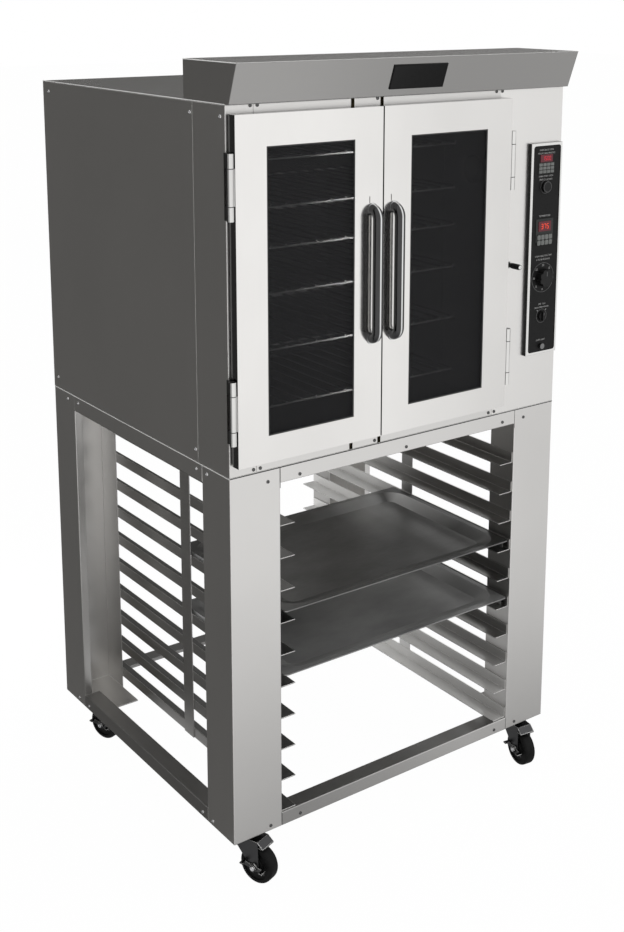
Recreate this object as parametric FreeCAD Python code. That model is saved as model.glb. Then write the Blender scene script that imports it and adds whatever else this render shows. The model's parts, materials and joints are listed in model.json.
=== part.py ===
import FreeCAD, Part
import math
import os

Vec = FreeCAD.Vector

# Two-door convection oven on an open pan stand with casters, in millimetres.
# Drawing frame: x from the cabinet's left face, y back from its front face, z up from the floor.

# Cabinet shell
cabinet_width = 946.0
cabinet_depth = 851.0
cabinet_height = 782.0
sheet = 1.5
stile_width = 67.5
column_width = 204.0
cheek_depth = 127.0
panel_seam = 0.6
round_flat_count = 40
small_flat_count = 24
top_strip_height = 34.0
bottom_strip_height = 40.0
jamb_depth = 30.0
catch_plate_width = 70.0
catch_plate_from_centre = 82.75
catch_slot = 9.0

# Hood above the doors
hood_height = 84.0
hood_back = 162.0
hood_toe = 14.5
hood_reach = 45.0
hood_lip = 12.0

# Baking cavity
motor_space = 68.0
rear_insulation = 40.0
right_insulation = 38.0
fan_space = 118.0
baffle_side_gap = 40.0
guard_radii = (40.0, 82.0, 124.0)
guard_ring = 6.0
guard_bar = 8.0

# Oven racks and the ladders that carry them
rack_heights = (83.0, 214.5, 342.5, 445.5, 536.5, 642.5)
rack_front = 140.0
rack_back_gap = 27.0
rack_side_gap = 5.0
rack_bar = 7.0
rack_bar_height = 9.0
rack_wire = 5.0
rack_wire_count = 17
ladder_thickness = 3.0
ladder_width = 22.0
ladder_inset = 60.0
ladder_rail = 12.0
ladder_rail_height = 6.0

# Circulation fan, motor, heating element and lamp
fan_radius = 150.0
fan_width = 62.0
fan_front_gap = 18.0
fan_blade_count = 18
fan_blade_depth = 34.0
fan_blade_sheet = 2.0
fan_blade_angle = 35.0
fan_hub_radius = 20.0
shaft_radius = 8.0
shaft_clearance = 0.06
shaft_passage = 14.0
motor_radius = 58.0
motor_length = 58.0
motor_bore_depth = 44.0
element_radius = 182.0
element_tube = 5.0
element_leg_angle = 12.0
lamp_radius = 28.0
lamp_ring_radius = 34.0
lamp_ring = 5.0
lamp_depth = 11.0
lamp_distance = 82.0
lamp_height = 590.0

# Back of the cabinet
cover_size = 300.0
cover_overlap = 20.0
louvre_count = 7
louvre_length = 200.0
louvre_height = 6.0
louvre_pitch = 24.0
inlet_bore = 11.0
inlet_flange_radius = 20.0
inlet_projection = 14.0
inlet_clearance = 2.0
inlet_from_right = 120.0
inlet_height = 90.0

# Doors
door_margin = 5.7
door_lap = 14.4
meeting_gap = 3.5
door_top_gap = 19.0
door_bottom_gap = 28.0
door_gap = 3.0
door_thickness = 24.2
window_side_margin = 75.0
window_top_margin = 66.4
window_bottom_margin = 58.9
window_relief = 14.0
window_lap = 23.0
window_channel = 1.2
glass_thickness = 5.0
gasket_width = 9.0
gasket_inset = 2.0
gasket_hinge_inset = 3.0
gasket_relief = 0.3
handle_diameter = 21.0
handle_standoff = 22.5
handle_length = 285.0
handle_edge = 28.0
handle_height = 258.5
handle_bend = 20.0
handle_flat_count = 12
bend_chord_count = 4
knuckle_flat_count = 16

# Door hinges
hinge_radius = 8.0
hinge_axis_gap = 8.5
hinge_axis_front = 21.0
hinge_from_bottom = 120.5
hinge_from_top = 144.5
end_knuckle = 30.0
mid_knuckle = 76.0
knuckle_gap = 0.5
pin_radius = 4.0
pin_clearance = 0.05
leaf_sheet = 2.5
leaf_width = 8.0
leaf_web = 3.0
door_leaf_depth = 19.0

# Control panel
bezel_from_right = 5.0
bezel_width = 101.0
bezel_bottom = 133.5
bezel_height = 517.0
bezel_depth = 10.0
bezel_rim = 6.0
face_recess = 1.0
face_sheet = 2.0
cutout_margin = 2.0
control_inset = 49.0
insert_height = 1.2
timer_lens = (40.0, 18.0, 614.0)
timer_keys = (52.0, 27.0, 590.5)
thermostat_plate = (57.0, 57.0, 439.5)
thermostat_lens = (41.0, 24.0, 450.0)
thermostat_keys = (44.0, 14.0, 424.0)
button_radius = 14.0
button_cap = 4.0
button_travel = 3.0
button_height = 545.5
light_button_radius = 7.0
light_button_height = 153.0
plunger_radius = 4.0
plunger_clearance = 0.3
dial_radius = 22.0
dial_grip = 15.0
dial_scallops = 8
dial_scallop_depth = 3.6
scallop_point_count = 6
dial_height = 324.0
selector_radius = 11.0
selector_length = 9.0
selector_bar = 6.0
selector_height = 228.5
knob_gap = 0.5
spindle_radius = 3.0
spindle_clearance = 0.06
switch_size = 20.0
switch_length = 24.0
switch_bore = 20.0

# Vent damper pull beside the right door
pull_from_opening = 44.0
pull_height = 365.0
pull_rod_radius = 4.0
pull_knob_radius = 6.0
pull_knob_length = 30.0
pull_reach = 37.0
pull_tail = 70.0
pull_clearance = 0.06
bush_radius = 8.0
bush_length = 4.0

# Pan stand
stand_height = 855.0
stand_sheet = 2.0
post_width = 127.5
post_depth = 113.0
post_lip = 20.0
post_flange = 82.0
top_rail_height = 35.0
side_rail_height = 40.0
top_rail_flange = 30.0
bottom_rail_height = 32.0
bottom_rail_flange = 42.0
base_plate = 3.0
base_plate_depth = 169.0
base_plate_notch = 1.0
slide_count = 10
top_slide_drop = 135.2
slide_flange = 40.0
slide_leg = 25.0
slide_end_gap = 4.0
upright_width = 44.0
upright_forward = 14.5

# Sheet pans
pan_side_gap = 10.5
pan_depth = 457.0
pan_height = 27.5
pan_sheet = 1.2
pan_rim = 9.0
pan_rim_height = 2.6
pan_rim_corner = 8.0
pan_bowl_depth = 13.0
pan_slope = 40.0
pan_corner = 60.0
pan_runner_inset = 20.0
pan_clearance = 0.3
pan_front = -2.0
slides_below_count = {"upper_sheet_pan": 6, "lower_sheet_pan": 4}

# Casters
caster_height = 120.0
caster_inset_x = 56.0
caster_inset_y = 50.0
caster_swivel = {"front_left": 20.0, "front_right": -8.0, "rear_left": 20.0, "rear_right": 12.0}
caster_plate_size = (76.0, 76.0, 3.0)
raceway_radius = 25.0
raceway_height = 9.0
swivel_gap = 0.3
king_pin_radius = 6.0
king_pin_reach = 3.0
king_pin_clearance = 0.06
fork_sheet = 3.0
fork_trail = 44.0
fork_back = 24.0
fork_front = 10.0
fork_lip_length = 15.0
fork_lip_drop = 12.0
fork_eye_radius = 12.0
wheel_radius = 44.0
wheel_width = 30.0
wheel_shoulder = 8.0
wheel_hub_radius = 13.0
wheel_hub_width = 34.0
hub_gap = 0.4
axle_radius = 6.0
axle_clearance = 0.06
axle_head_radius = 9.0
axle_head = 4.0
lever_sheet = 2.5
lever_gap = 0.4
lever_reach = 31.0
lever_half_height = 5.0
lever_hub_radius = 10.0
lever_tab = 12.0
lever_tab_length = 9.0
lever_tilt = 8.0

# Levels and places that follow from the sizes above
stand_bottom = caster_height
cabinet_bottom = caster_height + stand_height
cabinet_top = cabinet_bottom + cabinet_height
stand_top = cabinet_bottom
opening_left = stile_width
opening_right = cabinet_width - column_width
opening_bottom = cabinet_bottom + bottom_strip_height
opening_top = cabinet_top - top_strip_height
cavity_centre = (opening_left + opening_right) / 2
catch_plate_left = cavity_centre - catch_plate_from_centre
liner_depth = cabinet_depth - 2 * sheet - rear_insulation - motor_space
baffle_distance = liner_depth - fan_space
rack_depth = baffle_distance - rack_front - rack_back_gap
fan_centre_z = (opening_bottom + opening_top) / 2
door_back = -door_gap
door_front = -door_gap - door_thickness
door_bottom = cabinet_bottom + door_bottom_gap
door_top = cabinet_top - door_top_gap
door_width = (opening_right + door_lap - door_margin - meeting_gap) / 2
left_hinge_edge = door_margin
right_hinge_edge = door_margin + 2 * door_width + meeting_gap
hinge_axis_y = -hinge_axis_front
hinge_heights = (door_bottom_gap + hinge_from_bottom, cabinet_height - door_top_gap - hinge_from_top)
knuckle_span = mid_knuckle + 2 * (end_knuckle + knuckle_gap)
bezel_left = cabinet_width - bezel_from_right - bezel_width
control_axis = bezel_left + control_inset
pull_x = opening_right + pull_from_opening
face_front = -bezel_depth + face_recess
face_back = face_front + face_sheet
first_slide = stand_bottom + bottom_rail_height + stand_sheet
slide_pitch = (stand_height - bottom_rail_height - stand_sheet - top_slide_drop) / (slide_count - 1)
upright_distance = (cabinet_depth - upright_width) / 2 - upright_forward
pan_width = cabinet_width - 2 * post_width - 2 * pan_side_gap
axle_height = wheel_radius
crown_top = caster_height - caster_plate_size[2] - raceway_height - swivel_gap
crown_bottom = crown_top - fork_sheet
leg_inner = wheel_hub_width / 2 + hub_gap
leg_outer = leg_inner + fork_sheet

# The origin is on the floor, under the middle of the whole object
left_most = min(0.0, left_hinge_edge - hinge_axis_gap - hinge_radius)
right_most = cabinet_width
front_most = min(-hood_reach, door_front - handle_standoff - handle_diameter / 2)
back_most = cabinet_depth + max(inlet_projection, sheet)
origin = Vec((left_most + right_most) / 2, (front_most + back_most) / 2, 0)


def box(x0, x1, y0, y1, z0, z1):
    return Part.makeBox(x1 - x0, y1 - y0, z1 - z0, Vec(x0, y0, z0))


def cylinder(radius, start, end):
    axis = end - start
    return Part.makeCylinder(radius, axis.Length, start, axis)


def faceted(rings):
    # A closed solid through rings of points: flat faces between neighbours and a cap on each end.
    count = len(rings[0])
    faces = [Part.Face(Part.makePolygon(ring + ring[:1])) for ring in (rings[0], rings[-1])]
    for low, high in zip(rings, rings[1:]):
        for i in range(count):
            j = (i + 1) % count
            faces.append(Part.Face(Part.makePolygon([low[i], low[j], high[j], high[i], low[i]])))
    solid = Part.Solid(Part.Shell(faces))
    if solid.Volume < 0:
        solid.reverse()
    return solid


def turned(sections, flats, foot, axis):
    # A turned form drawn with flats; the sections are distances along the axis with their radii.
    step = 2 * math.pi / flats
    rings = [
        [Vec(radius * math.cos(i * step), radius * math.sin(i * step), along) for i in range(flats)]
        for along, radius in sections
    ]
    solid = faceted(rings)
    solid.Placement = FreeCAD.Placement(foot, FreeCAD.Rotation(Vec(0, 0, 1), axis))
    return solid


def disc(radius, start, end, flats):
    axis = end - start
    return turned([(0, radius), (axis.Length, radius)], flats, start, axis)


def turned_to(shape, along):
    # Profiles are drawn flat as (x, y), (y, z) or (z, x) and run along z, x or y.
    turns = {"z": 0, "x": 120, "y": 240}
    shape.rotate(Vec(0, 0, 0), Vec(1, 1, 1), turns[along])
    return shape


def prism(points, along, start, length):
    flat = [Vec(a, b, start) for a, b in points]
    face = Part.Face(Part.makePolygon(flat + flat[:1]))
    return turned_to(face.extrude(Vec(0, 0, length)), along)


def bent_sheet(inner_points, thickness, along, start, length):
    # The points run along the inside faces with the inside on the left; bends are rounded outside.
    path = Part.makePolygon([Vec(a, b, start) for a, b in inner_points])
    face = path.makeOffset2D(thickness, 0, True, True, False)
    return turned_to(face.extrude(Vec(0, 0, length)), along)


def rounded_rectangle(width, depth, corner, z):
    hx = width / 2
    hy = depth / 2
    k = corner * (1 - math.sqrt(0.5))
    edges = []
    corners = ((1, 1), (-1, 1), (-1, -1), (1, -1))
    ends = []
    for sx, sy in corners:
        along_x = Vec(sx * (hx - corner), sy * hy, z)
        along_y = Vec(sx * hx, sy * (hy - corner), z)
        middle = Vec(sx * (hx - k), sy * (hy - k), z)
        first, last = (along_y, along_x) if sx * sy > 0 else (along_x, along_y)
        ends.append((first, middle, last))
    for i, (first, middle, last) in enumerate(ends):
        edges.append(Part.Arc(first, middle, last).toShape())
        edges.append(Part.LineSegment(last, ends[(i + 1) % 4][0]).toShape())
    return Part.Wire(edges)


def fused(shapes):
    return shapes[0].multiFuse(list(shapes[1:])).removeSplitter()


def mirrored_x(shape):
    return shape.mirror(Vec(cabinet_width / 2, 0, 0), Vec(1, 0, 0))


def mirrored_y(shape):
    return shape.mirror(Vec(0, cabinet_depth / 2, 0), Vec(0, 1, 0))


def moved(shape, x, y, z):
    copy = shape.copy()
    copy.translate(Vec(x, y, z))
    return copy


def save(node, *solids):
    os.makedirs("parts", exist_ok=True)
    shape = solids[0] if len(solids) == 1 else Part.makeCompound(list(solids))
    moved(shape, -origin.x, -origin.y, 0).exportStep("parts/" + node + ".step")


def cabinet_shell():
    wall_bottom = cabinet_bottom + sheet
    wall_height = cabinet_height - 2 * sheet
    side = box(
        0, sheet, cheek_depth + panel_seam, cabinet_depth - sheet, wall_bottom, wall_bottom + wall_height)
    save("side_panels", side, mirrored_x(side))

    top = box(0, cabinet_width, 0, cabinet_depth, cabinet_top - sheet, cabinet_top)
    save("top_panel", top)
    bottom = box(0, cabinet_width, 0, cabinet_depth, cabinet_bottom, cabinet_bottom + sheet)
    save("bottom_panel", bottom)

    stile = bent_sheet(
        [
            (sheet, cheek_depth),
            (sheet, sheet),
            (stile_width - sheet, sheet),
            (stile_width - sheet, jamb_depth),
        ],
        sheet, "z", wall_bottom, wall_height)
    save("front_left_stile", stile)

    column = bent_sheet(
        [
            (opening_right + sheet, jamb_depth),
            (opening_right + sheet, sheet),
            (cabinet_width - sheet, sheet),
            (cabinet_width - sheet, cheek_depth),
        ],
        sheet, "z", wall_bottom, wall_height)
    inset = bezel_rim + cutout_margin
    cutout = box(
        bezel_left + inset, bezel_left + bezel_width - inset, -sheet, 2 * sheet,
        cabinet_bottom + bezel_bottom + inset, cabinet_bottom + bezel_bottom + bezel_height - inset)
    pull_z = cabinet_bottom + pull_height
    pull_hole = cylinder(bush_radius - sheet, Vec(pull_x, -sheet, pull_z), Vec(pull_x, 2 * sheet, pull_z))
    save("front_right_column", column.cut(cutout).cut(pull_hole))


def back_of_cabinet():
    wall_bottom = cabinet_bottom + sheet
    wall_top = cabinet_top - sheet
    inlet_x = cabinet_width - inlet_from_right
    inlet_z = cabinet_bottom + inlet_height
    inlet_mouth = cabinet_depth + inlet_projection

    back = box(0, cabinet_width, cabinet_depth - sheet, cabinet_depth, wall_bottom, wall_top)
    half = cover_size / 2 - cover_overlap
    access = box(
        cavity_centre - half, cavity_centre + half, cabinet_depth - 2 * sheet, cabinet_depth + sheet,
        fan_centre_z - half, fan_centre_z + half)
    inlet_hole = cylinder(
        inlet_bore + inlet_clearance,
        Vec(inlet_x, cabinet_depth - 2 * sheet, inlet_z), Vec(inlet_x, inlet_mouth, inlet_z))
    save("back_panel", back.cut(access).cut(inlet_hole))

    cover = box(
        cavity_centre - cover_size / 2, cavity_centre + cover_size / 2, cabinet_depth, cabinet_depth + sheet,
        fan_centre_z - cover_size / 2, fan_centre_z + cover_size / 2)
    lowest = fan_centre_z - louvre_pitch * (louvre_count - 1) / 2
    for i in range(louvre_count):
        z = lowest + i * louvre_pitch
        slot = box(
            cavity_centre - louvre_length / 2, cavity_centre + louvre_length / 2,
            cabinet_depth - sheet, cabinet_depth + 2 * sheet, z - louvre_height / 2, z + louvre_height / 2)
        cover = cover.cut(slot)
    save("rear_access_cover", cover)

    flange = disc(
        inlet_flange_radius, Vec(inlet_x, cabinet_depth, inlet_z), Vec(inlet_x, inlet_mouth, inlet_z),
        small_flat_count)
    bore = cylinder(
        inlet_bore, Vec(inlet_x, cabinet_depth - sheet, inlet_z), Vec(inlet_x, inlet_mouth + sheet, inlet_z))
    save("cable_inlet", flange.cut(bore))


def front_strips():
    wall_bottom = cabinet_bottom + sheet
    wall_top = cabinet_top - sheet
    catch_right = catch_plate_left + catch_plate_width
    spans = (
        (opening_left, catch_plate_left - catch_slot),
        (catch_plate_left, catch_right),
        (catch_right + catch_slot, opening_right),
    )
    strips = []
    for x0, x1 in spans:
        strips.append(bent_sheet(
            [(sheet, wall_top), (sheet, opening_top + sheet), (jamb_depth, opening_top + sheet)],
            sheet, "x", x0, x1 - x0))
        strips.append(bent_sheet(
            [(jamb_depth, opening_bottom - sheet), (sheet, opening_bottom - sheet), (sheet, wall_bottom)],
            sheet, "x", x0, x1 - x0))
    save("front_strips", *strips)


def hood():
    outline = [
        (-hood_toe, cabinet_top),
        (-hood_reach, cabinet_top + hood_height),
        (hood_back, cabinet_top + hood_height),
        (hood_back, cabinet_top),
    ]
    lean = (hood_reach - hood_toe) / hood_height
    slant = sheet * math.sqrt(1 + lean * lean)
    toe = -hood_toe + slant - lean * sheet
    reach = -hood_reach + slant + lean * sheet
    hollow = [
        (toe, cabinet_top + sheet),
        (reach, cabinet_top + hood_height - sheet),
        (hood_back - sheet, cabinet_top + hood_height - sheet),
        (hood_back - sheet, cabinet_top + sheet),
    ]
    shell = prism(outline, "x", 0, cabinet_width).cut(prism(hollow, "x", sheet, cabinet_width - 2 * sheet))
    floor_opening = box(
        hood_lip, cabinet_width - hood_lip, hood_lip, hood_back - hood_lip,
        cabinet_top - sheet, cabinet_top + 2 * sheet)
    save("hood_valance", shell.cut(floor_opening))


def cavity():
    x0 = opening_left
    x1 = opening_right
    z0 = opening_bottom
    z1 = opening_top
    back_inner = liner_depth
    back_outer = liner_depth + sheet
    passage = cylinder(
        shaft_passage, Vec(cavity_centre, back_inner - sheet, fan_centre_z),
        Vec(cavity_centre, back_outer + rear_insulation + sheet, fan_centre_z))
    plates = [
        box(x0 - sheet, x0, jamb_depth, back_inner, z0 - sheet, z1 + sheet),
        box(x1, x1 + sheet, jamb_depth, back_inner, z0 - sheet, z1 + sheet),
        box(x0, x1, jamb_depth, back_inner, z1, z1 + sheet),
        box(x0, x1, jamb_depth, back_inner, z0 - sheet, z0),
        box(x0 - sheet, x1 + sheet, back_inner, back_outer, z0 - sheet, z1 + sheet).cut(passage),
    ]
    save("cavity_liner", *plates)

    slabs = [
        box(sheet, x0 - sheet, jamb_depth, back_outer, z0 - sheet, z1 + sheet),
        box(x1 + sheet, x1 + right_insulation, jamb_depth, back_outer, z0 - sheet, z1 + sheet),
        box(sheet, x1 + right_insulation, jamb_depth, back_outer, z1 + sheet, cabinet_top - sheet),
        box(sheet, x1 + right_insulation, jamb_depth, back_outer, cabinet_bottom + sheet, z0 - sheet),
        box(
            sheet, x1 + right_insulation, back_outer, back_outer + rear_insulation,
            cabinet_bottom + sheet, cabinet_top - sheet).cut(passage),
    ]
    save("insulation", *slabs)


def oven_racks():
    wall_gap = ladder_thickness + rack_side_gap
    x0 = opening_left + wall_gap
    x1 = opening_right - wall_gap
    y0 = rack_front
    y1 = rack_front + rack_depth
    bars = [
        box(x0, x1, y, y + rack_bar, 0, rack_bar_height)
        for y in (y0, y1 - rack_bar)
    ]
    pitch = (x1 - x0 - rack_wire) / (rack_wire_count - 1)
    wires = [
        box(
            x, x + rack_wire, y0 + rack_bar / 2, y1 - rack_bar / 2,
            rack_bar_height - rack_wire, rack_bar_height)
        for x in (x0 + i * pitch for i in range(rack_wire_count))
    ]
    rack = fused(bars + wires)
    save("oven_racks", *[moved(rack, 0, 0, cabinet_bottom + height) for height in rack_heights])

    ladder_bottom = opening_bottom
    ladder_top = opening_top
    strips = [
        box(
            opening_left, opening_left + ladder_thickness, y - ladder_width / 2, y + ladder_width / 2,
            ladder_bottom, ladder_top)
        for y in (y0 + ladder_inset, y1 - ladder_inset)
    ]
    rails = [
        box(
            opening_left, opening_left + ladder_thickness + ladder_rail, y0, y1,
            cabinet_bottom + height - ladder_rail_height, cabinet_bottom + height)
        for height in rack_heights
    ]
    ladder = fused(strips + rails)
    cavity_middle = Vec(cavity_centre, 0, 0)
    save("rack_ladders", ladder, ladder.mirror(cavity_middle, Vec(1, 0, 0)))


def fan_baffle():
    y0 = baffle_distance
    y1 = baffle_distance + sheet
    plate = box(
        opening_left + baffle_side_gap, opening_right - baffle_side_gap, y0, y1, opening_bottom, opening_top)
    bars = []
    for x_half, z_half in ((guard_bar / 2, guard_radii[-1]), (guard_radii[-1], guard_bar / 2)):
        bars.append(box(
            cavity_centre - x_half, cavity_centre + x_half, y0 - sheet, y1 + sheet,
            fan_centre_z - z_half, fan_centre_z + z_half))
    cross = fused(bars)
    front = Vec(cavity_centre, y0 - sheet, fan_centre_z)
    rear = Vec(cavity_centre, y1 + sheet, fan_centre_z)
    for inner, outer in zip(guard_radii, guard_radii[1:]):
        gap = disc(outer - guard_ring / 2, front, rear, round_flat_count)
        gap = gap.cut(disc(inner + guard_ring / 2, front, rear, round_flat_count))
        plate = plate.cut(gap.cut(cross))
    save("fan_baffle", plate)


def circulation_fan():
    y0 = baffle_distance + sheet + fan_front_gap
    y1 = y0 + fan_width
    motor_front = liner_depth + sheet + rear_insulation
    centre = Vec(cavity_centre, 0, fan_centre_z)

    def on_axis(y):
        return centre + Vec(0, y, 0)

    hub_end = y1 + 3 * fan_blade_sheet
    back_disc = disc(fan_radius, on_axis(y1 - fan_blade_sheet), on_axis(y1), round_flat_count)
    hub = disc(fan_hub_radius, on_axis(y0 + fan_width / 2), on_axis(hub_end), small_flat_count)
    blades = []
    middle_radius = fan_radius - fan_blade_depth / 2
    for i in range(fan_blade_count):
        turn = 360.0 * i / fan_blade_count
        blade = box(
            middle_radius - fan_blade_depth / 2.4, middle_radius + fan_blade_depth / 2.4, y0, y1,
            -fan_blade_sheet / 2, fan_blade_sheet / 2)
        blade.rotate(Vec(middle_radius, 0, 0), Vec(0, 1, 0), fan_blade_angle)
        blade.rotate(Vec(0, 0, 0), Vec(0, 1, 0), turn)
        blades.append(moved(blade, cavity_centre, 0, fan_centre_z))
    shaft_end = motor_front + motor_bore_depth - sheet
    shaft = cylinder(shaft_radius, on_axis(y1), on_axis(shaft_end))
    save("fan_wheel", fused([back_disc, hub, shaft] + blades))

    can = disc(motor_radius, on_axis(motor_front), on_axis(motor_front + motor_length), round_flat_count)
    bore = cylinder(
        shaft_radius + shaft_clearance, on_axis(motor_front - sheet), on_axis(motor_front + motor_bore_depth))
    save("fan_motor", can.cut(bore))

    element_y = (y0 + y1) / 2
    centre_ring = on_axis(element_y)
    half = element_tube / 2
    front = on_axis(element_y - half)
    rear = on_axis(element_y + half)
    ring = disc(element_radius + half, front, rear, round_flat_count)
    ring = ring.cut(disc(element_radius - half, front, rear, round_flat_count))
    legs = []
    for side in (-1, 1):
        angle = math.radians(-90 + side * element_leg_angle)
        x = centre_ring.x + element_radius * math.cos(angle)
        z = centre_ring.z + element_radius * math.sin(angle)
        legs.append(box(x - half, x + half, element_y - half, liner_depth, z - half, z + half))
    save("heating_element", fused([ring] + legs))


def cavity_lamp():
    z = cabinet_bottom + lamp_height
    wall = Vec(opening_right, lamp_distance, z)
    profile = [
        (0, lamp_ring_radius),
        (lamp_ring, lamp_ring_radius),
        (lamp_ring, lamp_radius),
        (lamp_depth, lamp_radius - lamp_ring),
    ]
    save("cavity_lamp", turned(profile, small_flat_count, wall, Vec(-1, 0, 0)))


def hinge_levels():
    for height in hinge_heights:
        bottom = cabinet_bottom + height - knuckle_span / 2
        mid = bottom + end_knuckle + knuckle_gap
        yield bottom, mid, mid + mid_knuckle + knuckle_gap


def door(side):
    left = side == "left"
    edge = left_hinge_edge if left else right_hinge_edge
    way = 1 if left else -1

    def across(u0, u1, y0, y1, z0, z1):
        # Sizes across the door run from its hinge edge towards the meeting edge.
        a = edge + way * u0
        b = edge + way * u1
        return box(min(a, b), max(a, b), y0, y1, z0, z1)

    window = (window_side_margin, door_width - window_side_margin)
    window_z = (door_bottom + window_bottom_margin, door_top - window_top_margin)
    pane = (window[0] - window_lap, window[1] + window_lap)
    pane_z = (window_z[0] - window_lap, window_z[1] + window_lap)

    shell = across(0, door_width, door_front, door_back, door_bottom, door_top)
    hollow = across(
        sheet, door_width - sheet, door_front + sheet, door_back + sheet,
        door_bottom + sheet, door_top - sheet)
    opening = across(window[0], window[1], door_front - sheet, door_back + sheet, window_z[0], window_z[1])
    save(side + "_door_skin", shell.cut(hollow).cut(opening))
    # The opening behind the glass is larger, so that it does not show from outside.
    inner_opening = across(
        window[0] - window_relief, window[1] + window_relief, door_front, door_back + sheet,
        window_z[0] - window_relief, window_z[1] + window_relief)

    inner_front = door_back - sheet
    panel = across(sheet, door_width - sheet, inner_front, door_back, door_bottom + sheet, door_top - sheet)
    channel_outer = across(
        pane[0] - window_channel, pane[1] + window_channel, door_front + sheet, inner_front,
        pane_z[0] - window_channel, pane_z[1] + window_channel)
    channel_inner = across(pane[0], pane[1], door_front, door_back, pane_z[0], pane_z[1])
    save(side + "_door_inner_panel", fused([panel.cut(inner_opening), channel_outer.cut(channel_inner)]))

    outer_pane = across(
        pane[0], pane[1], door_front + sheet, door_front + sheet + glass_thickness, pane_z[0], pane_z[1])
    inner_pane = across(pane[0], pane[1], inner_front - glass_thickness, inner_front, pane_z[0], pane_z[1])
    save(side + "_door_glass", outer_pane, inner_pane)

    seal = (gasket_hinge_inset, door_width - gasket_inset)
    seal_z = (door_bottom + gasket_inset, door_top - gasket_inset)
    outer = across(seal[0], seal[1], door_back, -gasket_relief, seal_z[0], seal_z[1])
    inner = across(
        seal[0] + gasket_width, seal[1] - gasket_width, door_back - sheet, sheet,
        seal_z[0] + gasket_width, seal_z[1] - gasket_width)
    save(side + "_door_gasket", outer.cut(inner))

    save(side + "_door_handle", door_handle(edge + way * (door_width - handle_edge)))

    axis_x = edge - way * hinge_axis_gap
    leaves = []
    for bottom, mid, upper in hinge_levels():
        foot = Vec(axis_x, hinge_axis_y, mid)
        head = foot + Vec(0, 0, mid_knuckle)
        barrel = disc(hinge_radius, foot, head, knuckle_flat_count)
        hole = cylinder(pin_radius + pin_clearance, foot, head)
        front = hinge_axis_y - door_leaf_depth / 4
        leaf = across(-leaf_sheet, 0, front, front + door_leaf_depth, mid, mid + mid_knuckle)
        leaves.append(fused([barrel, leaf]).cut(hole))
    save(side + "_hinge_door_leaves", *leaves)


def door_handle(x):
    bottom = cabinet_bottom + handle_height
    top = bottom + handle_length
    bar_y = door_front - handle_standoff
    leg_y = bar_y + handle_bend
    # The tube's middle line in (y, z): straight legs and bar, with each bend drawn in short chords.
    line = [(door_front, bottom)]
    for centre_z, first in ((bottom + handle_bend, 270), (top - handle_bend, 180)):
        for i in range(bend_chord_count + 1):
            angle = math.radians(first - 90.0 * i / bend_chord_count)
            line.append((leg_y + handle_bend * math.cos(angle), centre_z + handle_bend * math.sin(angle)))
    line.append((door_front, top))

    step = 2 * math.pi / handle_flat_count
    radius = handle_diameter / 2
    rings = []
    for i, (y, z) in enumerate(line):
        before = line[max(i - 1, 0)]
        after = line[min(i + 1, len(line) - 1)]
        way_in = math.atan2(z - before[1], y - before[0]) if i else math.pi
        way_out = math.atan2(after[1] - z, after[0] - y) if i < len(line) - 1 else way_in
        half_turn = ((way_in - way_out + math.pi) % (2 * math.pi) - math.pi) / 2
        across = way_in - half_turn + math.pi / 2
        reach = radius / math.cos(half_turn)
        rings.append([
            Vec(
                x + radius * math.cos(k * step),
                y + reach * math.sin(k * step) * math.cos(across),
                z + reach * math.sin(k * step) * math.sin(across))
            for k in range(handle_flat_count)
        ])
    return faceted(rings)


def hinge_fixed_leaves():
    solids = []
    for edge, way in ((left_hinge_edge, 1), (right_hinge_edge, -1)):
        axis_x = edge - way * hinge_axis_gap
        for bottom, mid, upper in hinge_levels():
            pieces = []
            for z in (bottom, upper):
                foot = Vec(axis_x, hinge_axis_y, z)
                barrel = disc(hinge_radius, foot, foot + Vec(0, 0, end_knuckle), knuckle_flat_count)
                web = box(
                    axis_x - leaf_web / 2, axis_x + leaf_web / 2, hinge_axis_y, -leaf_sheet,
                    z, z + end_knuckle)
                pieces += [barrel, web]
            far = axis_x + way * leaf_width
            near = axis_x - way * leaf_web / 2
            flange = box(min(near, far), max(near, far), -leaf_sheet, 0, bottom, bottom + knuckle_span)
            pin_foot = Vec(axis_x, hinge_axis_y, bottom + end_knuckle)
            pin = cylinder(pin_radius, pin_foot, pin_foot + Vec(0, 0, mid_knuckle + 2 * knuckle_gap))
            solids.append(fused(pieces + [flange, pin]))
    save("hinge_fixed_leaves", *solids)


def control_point(height, y):
    return Vec(control_axis, y, cabinet_bottom + height)


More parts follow.
